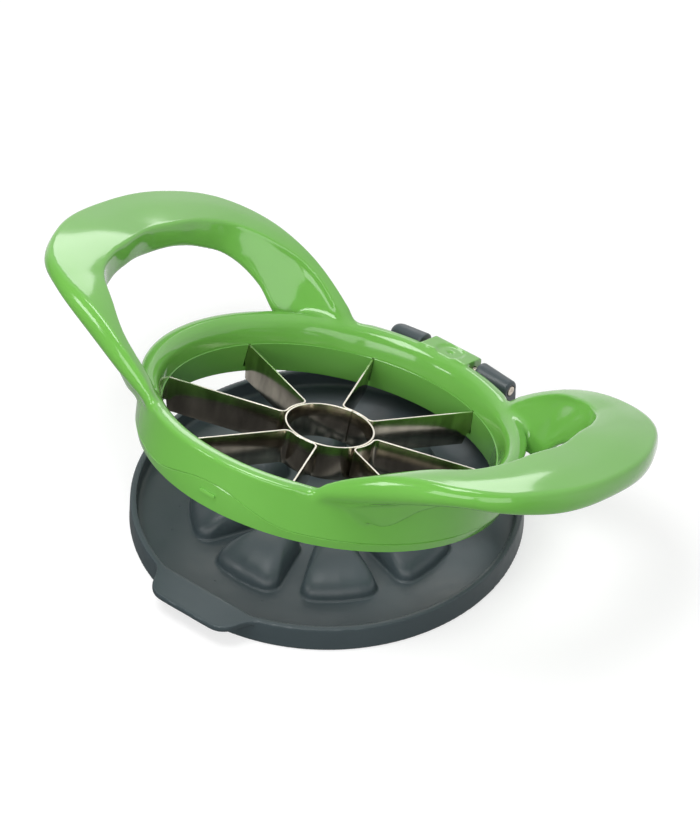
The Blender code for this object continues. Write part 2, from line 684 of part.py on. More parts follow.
def boss_centres():
    return [polar(BOSS_CIRCLE, (k + 0.5) * math.tau / SCREW_COUNT) for k in range(SCREW_COUNT)]


def upright_bars(tools, name, radius, low, high, steps):
    """A bar at each screw's place."""
    rise = Vector((0, 0, high))
    drop = Vector((0, 0, low))
    return [as_tool(bar(f"{name}_{k}", tools, radius, centre + drop, centre + rise, steps))
            for k, centre in enumerate(boss_centres())]


def build_frame(parts, tools, material):
    frame = mesh_object("handle_frame", parts, lofted(around(shell_section), closed=True), material)
    for side, name in ((1, "right_loop"), (-1, "left_loop")):
        combine(frame, loop_handle(tools, side, name), "UNION")
    combine(frame, knuckle(tools), "UNION")
    cuts = [mouth_and_cavity(tools), *ear_notches(tools), *dimple(tools), pin_bore(tools, "knuckle_bore")]
    for cut in cuts:
        combine(frame, cut, "DIFFERENCE")
    for boss in upright_bars(tools, "boss", BOSS_RADIUS, BOSS_BOTTOM, CAVITY_TOP + OVERRUN, SMALL_STEPS):
        combine(frame, boss, "UNION")
    for pilot in upright_bars(tools, "pilot", SCREW_RADIUS + GAP, BOSS_BOTTOM - OVERRUN,
                              SCREW_HEAD_TOP + SCREW_LENGTH + GAP, SMALL_STEPS):
        combine(frame, pilot, "DIFFERENCE")
    return frame


def collar_section(angle):
    top = split_height(angle) - GAP / 2
    inner_top = SPLIT_INNER - GAP / 2
    floor = COLLAR_BOTTOM + COLLAR_FLOOR
    skirt_inner = CAVITY_OUTER_RADIUS - GAP
    return [
        (MOUTH_RADIUS, inner_top),
        (COLLAR_FOOT_INNER, COLLAR_BOTTOM + COLLAR_EDGE),
        (COLLAR_FOOT_INNER + COLLAR_EDGE, COLLAR_BOTTOM),
        (COLLAR_FOOT_OUTER - COLLAR_EDGE, COLLAR_BOTTOM),
        (COLLAR_FOOT_OUTER, COLLAR_BOTTOM + COLLAR_EDGE),
        (wall_radius(top), top),
        (skirt_inner, top),
        (skirt_inner, floor),
        (CAVITY_INNER_RADIUS + HOLLOW_ROUND, floor),
        (CAVITY_INNER_RADIUS, inner_top),
    ]


def blade_slots(tools):
    made = []
    half = BLADE_THICKNESS / 2 + GAP
    for k in range(BLADE_COUNT):
        slot = block(f"blade_slot_{k}", tools, (MOUTH_RADIUS - OVERRUN * 2, -half, BLADE_BOTTOM - OVERRUN),
                     (CAVITY_INNER_RADIUS + HOLLOW_ROUND, half, SPLIT_INNER + OVERRUN))
        slot.data.transform(Matrix.Rotation((k + 0.5) * SECTOR, 4, "Z"))
        made.append(as_tool(slot))
    return made


def bead(tools):
    """The small bar that stands out at the front of the collar, in the split's window."""
    radius = wall_radius(BEAD_Z)
    return as_tool(block("bead", tools, (-BEAD_LENGTH / 2, -radius - BEAD_PROUD, BEAD_Z - BEAD_HEIGHT / 2),
                         (BEAD_LENGTH / 2, -radius + OVERRUN, BEAD_Z + BEAD_HEIGHT / 2)))


def build_collar(parts, tools, material):
    collar = mesh_object("blade_collar", parts, lofted(around(collar_section), closed=True), material)
    combine(collar, bead(tools), "UNION")
    cuts = blade_slots(tools)
    below = COLLAR_BOTTOM - OVERRUN
    cuts += upright_bars(tools, "boss_room", BOSS_RADIUS + GAP, BOSS_BOTTOM - GAP, LIP_TOP, SMALL_STEPS)
    cuts += upright_bars(tools, "screw_hole", SCREW_RADIUS + GAP, below, LIP_TOP, SMALL_STEPS)
    cuts += upright_bars(tools, "head_recess", SCREW_HEAD_RADIUS + GAP, below,
                         SCREW_HEAD_TOP + GAP, SMALL_STEPS)
    for cut in cuts:
        combine(collar, cut, "DIFFERENCE")
    return collar


def build_screws(parts, tools, material):
    """Screws driven up through the collar, with cross recesses in their heads."""
    made = []
    reach = SCREW_HEAD_TOP + SCREW_LENGTH
    profile = [(0, reach), (SCREW_RADIUS - SCREW_POINT / 2, reach), (SCREW_RADIUS, reach - SCREW_POINT),
               (SCREW_RADIUS, SCREW_HEAD_TOP), (SCREW_HEAD_RADIUS, SCREW_HEAD_TOP),
               (SCREW_HEAD_RADIUS, COLLAR_BOTTOM + GAP), (0, COLLAR_BOTTOM + GAP)]
    drive = SCREW_HEAD_RADIUS * 0.7
    for k, centre in enumerate(boss_centres()):
        screw = turned(f"collar_screw_{k + 1}", parts, profile, material)
        screw.modifiers["turn"].steps = SMALL_STEPS
        screw.modifiers["turn"].render_steps = SMALL_STEPS
        screw.location = centre
        for way, x, y in (("along", drive, SCREW_DRIVE_WIDTH / 2), ("across", SCREW_DRIVE_WIDTH / 2, drive)):
            slot = block(f"drive_{way}_{k}", tools, (-x, -y, COLLAR_BOTTOM - OVERRUN),
                         (x, y, COLLAR_BOTTOM + GAP + SCREW_DRIVE_DEPTH))
            slot.location = centre
            combine(screw, as_tool(slot), "DIFFERENCE")
        made.append(screw)
    return made


def strip(name, parts, path, thickness, material):
    """An upright steel strip along a path, sharpened at its lower edge."""
    levels = ((BLADE_BOTTOM, BLADE_EDGE), (BLADE_BOTTOM + BLADE_BEVEL, thickness), (BLADE_TOP, thickness))
    sections = []
    for i, point in enumerate(path):
        ahead = path[min(i + 1, len(path) - 1)] - path[max(i - 1, 0)]
        across = Vector((-ahead.y, ahead.x, 0)).normalized()
        left = [point + across * (width / 2) + Vector((0, 0, z)) for z, width in levels]
        right = [point - across * (width / 2) + Vector((0, 0, z)) for z, width in reversed(levels)]
        sections.append(left + right)
    return mesh_object(name, parts, lofted(sections, closed=False), material)


def blade_path(first, last):
    """In along one blade, round the outside of the corer, and out along the next."""
    wrap = CORER_RADIUS + GAP + BLADE_THICKNESS / 2
    end = MOUTH_RADIUS + BLADE_SEAT
    reach = wrap + BLADE_FILLET
    turn = math.asin(BLADE_FILLET / reach)
    tangent = math.sqrt(reach**2 - BLADE_FILLET**2)
    steps = 4
    half = [polar(end, first), polar((end + tangent) / 2, first)]
    centre = polar(reach, first + turn)
    swing = math.pi / 2 - turn
    for i in range(steps + 1):
        half.append(centre + polar(BLADE_FILLET, first - math.pi / 2 - swing * i / steps))
    arc_steps = 6
    span = last - first - 2 * turn
    arc = [polar(wrap, first + turn + span * i / arc_steps) for i in range(1, arc_steps)]
    middle = (first + last) / 2
    mirrored = [polar(p.length, 2 * middle - math.atan2(p.y, p.x)) for p in reversed(half)]
    return half + arc + mirrored


def build_blades(parts, material):
    made = []
    for k in range(BLADE_COUNT // 2):
        first = (2 * k + 1.5) * SECTOR
        path = blade_path(first, first + SECTOR)
        made.append(strip(f"blade_pair_{k + 1}", parts, path, BLADE_THICKNESS, material))
    return made


def build_corer(parts, material):
    middle = CORER_RADIUS - CORER_THICKNESS / 2
    slack = CORER_SEAM / middle / 2
    steps = ROUND_STEPS + 8
    span = math.tau - 2 * slack
    path = [polar(middle, CORER_SEAM_ANGLE + slack + span * i / steps) for i in range(steps + 1)]
    return strip("corer_ring", parts, path, CORER_THICKNESS, material)


def main():
    clear_scene()
    parts = make_collection("apple_slicer")
    tools = make_collection("cutters")
    green = make_material("green_plastic", GREEN, 0.18, 0.0)
    slate = make_material("slate_plastic", SLATE, 0.42, 0.0)
    steel = make_material("blade_steel", STEEL, 0.22, 1.0)

    build_base(parts, tools, slate)

    swing = bpy.data.objects.new("hinge_axis", None)
    parts.objects.link(swing)
    swing.location = (0, HINGE_Y, HINGE_Z)
    swing.rotation_euler = (-REST_OPENING, 0, 0)
    frame = build_frame(parts, tools, green)
    moving = [frame, build_collar(parts, tools, green), build_corer(parts, steel)]
    moving += build_blades(parts, steel)
    moving += build_screws(parts, tools, steel)
    guides = [change.object for piece in moving for change in piece.modifiers if change.type == "BOOLEAN"]
    for piece in moving + guides:
        piece.parent = swing
        piece.matrix_parent_inverse = Matrix.Translation((0, -HINGE_Y, -HINGE_Z))
    hinge_pin(parts, steel)


main()
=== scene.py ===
"""Looks of the hinged apple slicer: fine surfaces, materials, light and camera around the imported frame.

The cutting frame's pieces are drawn closed, level over the base, and are then swung open about the hinge.
Sizes are metres, +Z up, +Y towards the hinge, as in the frame.
"""

import json
import math

import bmesh
import bpy
import numpy as np
from mathutils import Matrix, Vector
from mathutils.bvhtree import BVHTree


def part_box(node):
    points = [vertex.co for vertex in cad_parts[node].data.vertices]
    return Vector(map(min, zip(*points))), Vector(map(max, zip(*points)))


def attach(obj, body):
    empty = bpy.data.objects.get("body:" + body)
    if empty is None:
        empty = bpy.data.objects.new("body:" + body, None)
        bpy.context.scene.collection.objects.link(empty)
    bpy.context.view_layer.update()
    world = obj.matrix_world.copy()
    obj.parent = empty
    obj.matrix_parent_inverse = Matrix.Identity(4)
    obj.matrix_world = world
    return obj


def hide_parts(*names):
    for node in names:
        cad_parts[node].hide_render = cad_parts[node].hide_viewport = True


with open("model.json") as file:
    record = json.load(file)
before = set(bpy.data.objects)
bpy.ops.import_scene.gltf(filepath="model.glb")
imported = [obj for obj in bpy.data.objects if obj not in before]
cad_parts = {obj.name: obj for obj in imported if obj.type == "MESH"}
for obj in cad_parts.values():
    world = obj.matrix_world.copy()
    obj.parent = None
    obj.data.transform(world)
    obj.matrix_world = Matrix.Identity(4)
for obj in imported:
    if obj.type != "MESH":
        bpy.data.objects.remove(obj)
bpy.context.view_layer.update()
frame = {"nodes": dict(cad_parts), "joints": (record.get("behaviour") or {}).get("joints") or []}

MM = 0.001
GAP = 0.3 * MM                      # between two pieces that sit in each other
OVERRUN = 1.0 * MM                  # how far a cutter reaches past what it cuts

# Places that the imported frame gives
HINGE = Vector(frame["joints"][0]["pos_m"])
BASE_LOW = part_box("base_plate")[0]

REST_OPENING = math.radians(16.94)  # how far the cutting frame stands open

# Ring: the shell's part of it and the collar below
MOUTH_RADIUS = 52.0 * MM
SEAM_LEDGE = 0.3 * MM               # how far the shell stands back from the collar in the mouth
HOLLOW_INNER = 54.2 * MM
HOLLOW_OUTER = 57.0 * MM
HOLLOW_TOP = 22.6 * MM
LIP_RADIUS = 60.1 * MM
LIP_TOP = 25.2 * MM
SPLIT_RADIUS = 59.0 * MM
SPLIT_INNER = 17.4 * MM
SPLIT_OUTER = 10.4 * MM
SPLIT_GAP = 0.2 * MM
WINDOW_RISE = 6.1 * MM              # how far the split climbs at the front
WINDOW_HALF_ANGLE = math.radians(27.0)
WINDOW_LEAN = math.radians(1.5)
COLLAR_BOTTOM = 6.9 * MM
COLLAR_FOOT_OUTER = 58.1 * MM
COLLAR_FOOT_INNER = 53.2 * MM
COLLAR_FLOOR = 2.0 * MM
COLLAR_EDGE = 0.6 * MM
COLLAR_CHAMFER = 0.1 * MM
BEAD_LENGTH = 5.9 * MM              # the bead is a small raised mark at the collar's front
BEAD_HEIGHT = 1.3 * MM
BEAD_PROUD = 0.35 * MM
BEAD_X = 0.45 * MM
BEAD_Z = 12.3 * MM
LIP_BLEND = 3.5 * MM                # the outer part of the lip, which the handles may run into
# The lip's curve from the outer wall over the crest and down the mouth, in millimetres from its outer
# edge and top
LIP_CURVE = (
    (-0.20, -2.9), (-0.10, -1.5), (-0.22, -0.65), (-0.85, -0.08), (-2.0, 0.22), (-3.1, 0.33), (-3.9, 0.17),
    (-4.7, -0.35), (-5.6, -1.2), (-6.5, -2.7), (-7.1, -4.6), (-7.75, -7.4),
)

# Handles
HANDLE_REACH = 40.5 * MM
LOOP_SPREAD = 0.674 * LIP_RADIUS
GRIP_WIDTH = 21.5 * MM
HANDLE_RISE = 25.0 * MM
GRIP_DROP = 7.3 * MM
ARM_SIDE = 6.4 * MM
GRIP_CROWN = 0.6 * MM
SIDE_BULGE = 1.5 * MM
INNER_BULGE = 0.8 * MM
WALL_LEAN = 1.0 * MM
LOOP_END_ANGLE = 122.0
LOOP_STATIONS = 400
# Each row: polar angle in degrees, then shares of reach, width, rise, drop, side, bulge and lean
LOOP_SHARES = (
    (0.0, 1.00, 0.965, 0.97, 1.33, 1.12, 0.87, 0.1),
    (35.0, 1.085, 1.03, 0.965, 1.23, 1.16, 0.70, 0.4),
    (55.0, 1.17, 0.92, 0.925, 1.36, 0.98, 0.90, 0.7),
    (70.0, 1.185, 0.68, 0.865, 1.56, 0.95, 1.00, 1.0),
    (90.0, 1.19, 0.40, 0.73, 2.10, 1.35, 1.30, 4.0),
    (104.0, 1.26, 0.205, 0.51, 2.65, 1.30, 1.20, 8.0),
    (117.0, 1.375, 0.205, 0.17, 1.80, 0.93, 1.00, 5.0),
    (130.0, 1.60, 0.45, -0.40, 1.20, 0.50, 1.30, 0.1),
)

# Hinge
KNUCKLE_RADIUS = 3.9 * MM
KNUCKLE_LEFT = 9.3 * MM
KNUCKLE_RIGHT = 8.6 * MM
KNUCKLE_CORNER = 1.6 * MM
KNUCKLE_BITE = 5.0 * MM
EAR_INNER_X = 11.0 * MM
EAR_OUTER_X = 23.6 * MM
EAR_RADIUS = 3.5 * MM
EAR_ROOT_SHARE = 1.2                # the head's radius at the ear's inner end, as a share
EAR_TIP_SHARE = 0.88
EAR_POST_THICKNESS = 5.7 * MM
EAR_EDGE = 0.7 * MM
EAR_DOME = 3.4 * MM                 # the left ear is closed by a dome
EAR_FOOT_FLARE = 0.6 * MM
EAR_FOOT_LOW = 0.4 * MM
NOTCH_CLEARANCE = 0.6 * MM
PIN_RADIUS = 1.6 * MM
PIN_PROUD = 0.2 * MM
PIN_SEAT = 8.0 * MM                 # how deep the pin sits in the left ear
PIN_CHAMFER = 0.3 * MM
DIMPLE_RADIUS = 4.7 * MM            # the round mark on the knuckle, with a pit in its middle
DIMPLE_DEPTH = 0.6 * MM
DIMPLE_INSET = 1.9 * MM
PIT_RADIUS = 1.3 * MM
PIT_DEPTH = 1.2 * MM

# Base
BASE_RADIUS = 61.3 * MM
BASE_EDGE = 0.5 * MM
RIM_RADIUS = 60.9 * MM
RIM_TOP = 8.2 * MM
RIM_WIDTH = 2.1 * MM
TRAY_RADIUS = RIM_RADIUS - RIM_WIDTH
# Rounds of the rim's section, in millimetres outwards and upwards from the corner that each replaces
TRAY_FILLET = ((-1.2, 0.0), (-0.35, 0.35), (0.0, 1.2))
RIM_INNER_ROUND = ((0.0, -0.6), (0.2, -0.15), (0.7, 0.0))
RIM_OUTER_ROUND = ((-0.8, 0.0), (-0.25, -0.15), (0.0, -0.7))
FLOOR_TOP = 2.4 * MM
FLOOR_THICKNESS = 1.6 * MM
FOOT_WIDTH = 2.6 * MM
HUB_RADIUS = 12.0 * MM
TAB_INNER_CHORD = 56.4 * MM
TAB_THICKNESS = 2.1 * MM
TAB_EDGE = 0.45 * MM
# Right half of the tab's outline in millimetres, from the rim round to the middle of its front
TAB_CURVE = (
    (20.7, -57.1), (19.6, -57.9), (18.1, -59.3), (17.1, -60.9), (16.4, -62.5), (15.6, -64.1),
    (14.4, -65.6), (12.6, -66.8), (10.3, -67.4), (7.5, -67.5), (0.0, -67.5),
)
PUSHER_TOP = 10.0 * MM
PUSHER_INNER_RADIUS = 18.6 * MM
PUSHER_OUTER_RADIUS = 42.4 * MM
PUSHER_HALF_ANGLE = math.radians(17.2)
PUSHER_CORNER = 4.0 * MM
PUSHER_FOOT = 0.5 * MM              # height of the steep foot under the dome
PUSHER_FALL_OUT = 15.0 * MM         # how far the dome falls away over its outer end
PUSHER_FALL_IN = 4.0 * MM
PUSHER_FALL_SIDE = 4.6 * MM
PUSHER_DRAFT = 0.8 * MM
PUSHER_WALL = 2.0 * MM
DOT_RADIUS = 0.35 * MM
DOT_RISE = 0.1 * MM
# Marks of the ejector pins on the tray: polar radius in millimetres and angle in degrees
DOT_PLACES = ((45.6, -141.5), (48.8, -128.9), (46.1, -75.9), (47.3, -96.7))

# Blades and screws
BLADE_COUNT = 8
SECTOR = math.tau / BLADE_COUNT
BLADE_THICKNESS = 0.6 * MM
BLADE_BOTTOM = 5.9 * MM
BLADE_TOP = SPLIT_INNER - GAP / 2
BLADE_TAB_BOTTOM = 9.4 * MM         # a blade's end, which the collar holds, is less tall
BLADE_TAB_INSET = 0.2 * MM          # how far that end reaches into the mouth
BLADE_FULL_INSET = 1.2 * MM         # where the blade has its full height
BLADE_BEVEL = 1.6 * MM
BLADE_EDGE = 0.16 * MM
BLADE_SEAT = 1.2 * MM               # how deep a blade's end sits in the collar
BLADE_FILLET = 2.0 * MM
TOP_CHAMFER = 0.1 * MM
CORER_RADIUS = 14.0 * MM
CORER_THICKNESS = 0.6 * MM
CORER_SEAM = 0.5 * MM
CORER_SEAM_ANGLE = math.radians(97.0)
SCREW_COUNT = 4
SCREW_CIRCLE = 55.45 * MM
SCREW_RADIUS = 1.0 * MM
SCREW_HEAD_RADIUS = 1.7 * MM
SCREW_HEAD_HEIGHT = 1.0 * MM

# Meshes
VOXEL = 0.5 * MM
RING_STEPS = 720
SPLINE_STEPS = 6
CREASE_ROUNDS = 3
WEB_SHARE = 0.12                    # thickness of the web under an arm, as a share of the arm's width
JOINT_REACH = 4.0 * MM              # how far the blend between a handle and the ring reaches
JOINT_ROUNDS = 40
SKIN_ROUNDS = 3
BASE_SNAP_SHARE = 0.8               # how far the base's skin is drawn back on to its solids
SMOOTH_STEP = 0.5
SWELL_STEP = -0.52
SHARP_ANGLE = math.radians(32.0)
UV_LENGTH = 10 * MM                 # what one step of the strips' UV map is in metres

# Colours, as red, green and blue in linear light
GREEN_DARK, GREEN_LIGHT = (0.152, 0.430, 0.070), (0.168, 0.455, 0.080)
SLATE_DARK, SLATE_LIGHT = (0.041, 0.058, 0.064), (0.050, 0.069, 0.076)
# The blades' lighter colour is a painted highlight on their top chamfer, for the light it catches from above.
BLADE_FACE, BLADE_EDGE_HIGHLIGHT = (0.42, 0.385, 0.32), (0.80, 0.76, 0.66)
FASTENER_DARK, FASTENER_LIGHT = (0.50, 0.45, 0.38), (0.62, 0.56, 0.48)
BLADE_ROUGHNESS = 0.15

# Light
WORLD_LEVEL = 0.5                   # the world's light on the object, where 1 is white
FRONT_SHADE = 0.06                  # how bright the room before the object is in a mirror
FLOOR_COLOUR = 0.42
FLOOR_GLOW = 0.62                   # what brings the floor up to white where it is seen
FLOOR_DIM = (-0.10, 0.12)           # the Y at which the floor is dim in a mirror, and at which it is white
ROOM_DIM = (-0.45, 0.45)            # the same for the room, as a direction's share along Y
FLOOR_HALF = 3.0
FLOOR_DROP = 0.05 * MM
LAMP_AIM = (0.0, 0.0, 0.03)

# Camera, fitted to the photograph
CAMERA_AZIMUTH = math.radians(38.625)
CAMERA_ELEVATION = math.radians(40.865)
CAMERA_ROLL = math.radians(0.682)
CAMERA_DISTANCE = 1.3212
CAMERA_AIM = Vector((-0.022489, 0.039173, 0))
FOCAL_PIXELS = 4142.36
IMAGE_HEIGHT = 840
SENSOR_WIDTH = 36

scratch = bpy.data.collections.new("scratch")
bpy.context.scene.collection.children.link(scratch)


# Mesh helpers


def polar(radius, angle, height=0.0):
    return Vector((radius * math.cos(angle), radius * math.sin(angle), height))


def new_object(name, mesh):
    made = bpy.data.objects.new(name, mesh)
    scratch.objects.link(made)
    return made


def from_bmesh(name, bm):
    bmesh.ops.recalc_face_normals(bm, faces=bm.faces)
    mesh = bpy.data.meshes.new(name)
    bm.to_mesh(mesh)
    bm.free()
    return new_object(name, mesh)


def lofted(name, sections, closed=False):
    """A solid skinned over point loops of equal length."""
    bm = bmesh.new()
    rings = [[bm.verts.new(point) for point in section] for section in sections]
    pairs = list(zip(rings, rings[1:]))
    if closed:
        pairs.append((rings[-1], rings[0]))
    else:
        bm.faces.new(reversed(rings[0]))
        bm.faces.new(rings[-1])
    for near, far in pairs:
        for i in range(len(near)):
            j = (i + 1) % len(near)
            bm.faces.new((near[i], near[j], far[j], far[i]))
    return from_bmesh(name, bm)


def turned(name, profile, steps=RING_STEPS):
    """A ring turned about Z from a closed profile of radius and height."""
    sections = [[polar(r, math.tau * i / steps, z) for r, z in profile] for i in range(steps)]
    return lofted(name, sections, closed=True)


def disc(name, profile):
    """A turned solid whose profile starts and ends on the axis."""
    steps = RING_STEPS
    bm = bmesh.new()
    first = bm.verts.new((0, 0, profile[0][1]))
    last = bm.verts.new((0, 0, profile[-1][1]))
    rings = []
    for radius, height in profile[1:-1]:
        rings.append([bm.verts.new(polar(radius, math.tau * i / steps, height)) for i in range(steps)])
    for i in range(steps):
        j = (i + 1) % steps
        bm.faces.new((first, rings[0][i], rings[0][j]))
        bm.faces.new((last, rings[-1][j], rings[-1][i]))
        for near, far in zip(rings, rings[1:]):
            bm.faces.new((near[i], far[i], far[j], near[j]))
    return from_bmesh(name, bm)


def rod(name, radius, start, end, steps=64):
    start, end = Vector(start), Vector(end)
    axis = (end - start).normalized()
    side = axis.orthogonal().normalized()
    up = axis.cross(side)
    ring = [(side * math.cos(math.tau * i / steps) + up * math.sin(math.tau * i / steps)) * radius
            for i in range(steps)]
    return lofted(name, [[start + p for p in ring], [end + p for p in ring]])


def box_solid(name, low, high):
    (x0, y0, z0), (x1, y1, z1) = low, high
    ring = ((x0, y0), (x1, y0), (x1, y1), (x0, y1))
    return lofted(name, [[Vector((x, y, z)) for x, y in ring] for z in (z0, z1)])


def evaluated(obj):
    """Replaces an object's mesh by what its modifiers make of it."""
    graph = bpy.context.evaluated_depsgraph_get()
    mesh = bpy.data.meshes.new_from_object(obj.evaluated_get(graph))
    obj.modifiers.clear()
    obj.data = mesh
    return obj


def joined(name, objects):
    """One object that holds several overlapping solids."""
    bm = bmesh.new()
    for obj in objects:
        bm.from_mesh(obj.data)
        bpy.data.objects.remove(obj)
    mesh = bpy.data.meshes.new(name)
    bm.to_mesh(mesh)
    bm.free()
    return new_object(name, mesh)


def remeshed(obj, voxel):
    change = obj.modifiers.new("voxels", "REMESH")
    change.mode = "VOXEL"
    change.voxel_size = voxel
    return evaluated(obj)


def cut(obj, tools, operation="DIFFERENCE"):
    """Takes tools off an object, or with UNION adds them to it, and removes them."""
    for tool in tools:
        change = obj.modifiers.new("cut", "BOOLEAN")
        change.operation = operation
        change.solver = "MANIFOLD"
        change.object = tool
        evaluated(obj)
        bpy.data.objects.remove(tool)
    return obj


def coordinates(mesh):
    co = np.empty(len(mesh.vertices) * 3)
    mesh.vertices.foreach_get("co", co)
    return co.reshape(-1, 3)


def softened(obj, rounds, weights=None, shrinking=False):
    """Smooths a mesh a little. Unless it may shrink, each round is followed by one that swells it back."""
    mesh = obj.data
    co = coordinates(mesh)
    pairs = np.empty(len(mesh.edges) * 2, dtype=np.int64)
    mesh.edges.foreach_get("vertices", pairs)
    a, b = pairs.reshape(-1, 2).T
    count = len(co)
    valence = np.bincount(a, minlength=count) + np.bincount(b, minlength=count)
    valence = np.maximum(valence, 1)
    amount = np.ones(count) if weights is None else weights
    steps = (SMOOTH_STEP,) if shrinking else (SMOOTH_STEP, SWELL_STEP)
    for _ in range(rounds):
        for step in steps:
            for axis in range(3):
                line = co[:, axis]
                total = np.bincount(a, line[b], count) + np.bincount(b, line[a], count)
                co[:, axis] = line + step * amount * (total / valence - line)
    mesh.vertices.foreach_set("co", co.ravel())
    mesh.update()


def distance_to(tree, points):
    return np.array([tree.find_nearest(Vector(p))[3] for p in points])


def tree_of(obj):
    return BVHTree.FromObject(obj, bpy.context.evaluated_depsgraph_get())


def snapped(obj, tree, weights):
    """Draws a mesh's points back on to the surface it was made from."""
    co = coordinates(obj.data)
    for i in np.flatnonzero(weights > 0):
        place = tree.find_nearest(Vector(co[i]))[0]
        co[i] += (np.array(place) - co[i]) * weights[i]
    obj.data.vertices.foreach_set("co", co.ravel())
    obj.data.update()


def eased_step(share):
    share = np.clip(share, 0, 1)
    return share**2 * (3 - 2 * share)


def spread(points, count):
    """Points spaced evenly along a run, without its last one."""
    points = np.array(points)
    steps = np.linalg.norm(np.diff(points, axis=0), axis=1)
    along = np.concatenate(([0], np.cumsum(steps)))
    at = np.linspace(0, along[-1], count, endpoint=False)
    return np.stack([np.interp(at, along, points[:, i]) for i in range(points.shape[1])], axis=1)


def rounded_off(points, rounds):
    """Rounds off the corners of a closed outline a little."""
    for _ in range(rounds):
        points = (np.roll(points, 1, axis=0) + 2 * points + np.roll(points, -1, axis=0)) / 4
    return points


def through(points, per=SPLINE_STEPS):
    """Points of a smooth run through some points, with a few steps in each span."""
    run = []
    for i in range(len(points) - 1):
        p1, p2 = points[i], points[i + 1]
        p0 = points[i - 1] if i else (2 * p1[0] - p2[0], 2 * p1[1] - p2[1])
        p3 = points[i + 2] if i + 2 < len(points) else (2 * p2[0] - p1[0], 2 * p2[1] - p1[1])
        for k in range(per):
            t = k / per
            run.append(tuple(
                0.5 * (2 * b + (c - a) * t + (2 * a - 5 * b + 4 * c - d) * t**2
                       + (3 * b - a - 3 * c + d) * t**3)
                for a, b, c, d in zip(p0, p1, p2, p3)))
    run.append(tuple(points[-1]))
    return run


def spline(rows, column, at):
    """A column of a table at some place in its first column, smooth from row to row."""
    xs = [row[0] for row in rows]
    ys = [row[column] for row in rows]
    steps = [(ys[i + 1] - ys[i]) / (xs[i + 1] - xs[i]) for i in range(len(xs) - 1)]
    slopes = [0.0] + [(steps[i] + steps[i + 1]) / 2 for i in range(len(steps) - 1)] + [steps[-1]]
    i = max(k for k in range(len(xs) - 1) if xs[k] <= at)
    width = xs[i + 1] - xs[i]
    t = (at - xs[i]) / width
    return ((2 * t**3 - 3 * t**2 + 1) * ys[i] + (t**3 - 2 * t**2 + t) * width * slopes[i]
            + (3 * t**2 - 2 * t**3) * ys[i + 1] + (t**3 - t**2) * width * slopes[i + 1])


# Green shell


def split_height(angle):
    """Height of the line between shell and collar, which climbs at the front."""
    away = abs(math.remainder(angle + math.pi / 2 - WINDOW_LEAN, math.tau))
    share = min(away / WINDOW_HALF_ANGLE, 1)
    return SPLIT_OUTER + WINDOW_RISE * (1 + math.cos(math.pi * share)) / 2


def wall_radius(height):
    """The ring's outer wall, which leans out a little on its way up."""
    lean = (LIP_RADIUS - SPLIT_RADIUS) / (LIP_TOP - SPLIT_OUTER)
    return SPLIT_RADIUS + lean * (height - SPLIT_OUTER)


def lip_points():
    """The lip's curve, dense enough to shade smoothly."""
    return through([(LIP_RADIUS + out * MM, LIP_TOP + up * MM) for out, up in LIP_CURVE])


def ring_solid():
    """The ring down to a foot that the split is cut from later."""
    foot = SPLIT_OUTER - OVERRUN * 2
    profile = [(MOUTH_RADIUS + SEAM_LEDGE, foot), (wall_radius(foot), foot)]
    profile += lip_points() + [(MOUTH_RADIUS + SEAM_LEDGE, SPLIT_INNER)]
    return turned("ring", profile)


def mouth_room():
    """What the handles and the knuckle are trimmed by, so that none of them stands in the mouth."""
    inside = [(r + OVERRUN * 0.2, z) for r, z in lip_points() if r < LIP_RADIUS - LIP_BLEND]
    above = LIP_TOP + OVERRUN * 10
    core = MOUTH_RADIUS / 2
    return turned("mouth", [(core, OVERRUN), (core, above), (inside[0][0], above)] + inside
                  + [(inside[-1][0], OVERRUN)], 360)


def underside_room():
    """What is taken off under the shell: all below the split, and the hollow inside the ring's wall."""
    foot = COLLAR_BOTTOM
    core = MOUTH_RADIUS - OVERRUN
    outside = LIP_RADIUS + OVERRUN
    seat = SPLIT_INNER + SPLIT_GAP / 6
    sections = []
    for i in range(RING_STEPS):
        angle = math.tau * i / RING_STEPS
        low = split_height(angle) + SPLIT_GAP / 2
        profile = [(core, foot), (outside, foot), (outside, low), (HOLLOW_OUTER, low),
                   (HOLLOW_OUTER, HOLLOW_TOP), (HOLLOW_INNER, HOLLOW_TOP), (HOLLOW_INNER, seat), (core, seat)]
        sections.append([polar(r, angle, z) for r, z in profile])
    return lofted("underside", sections, closed=True)


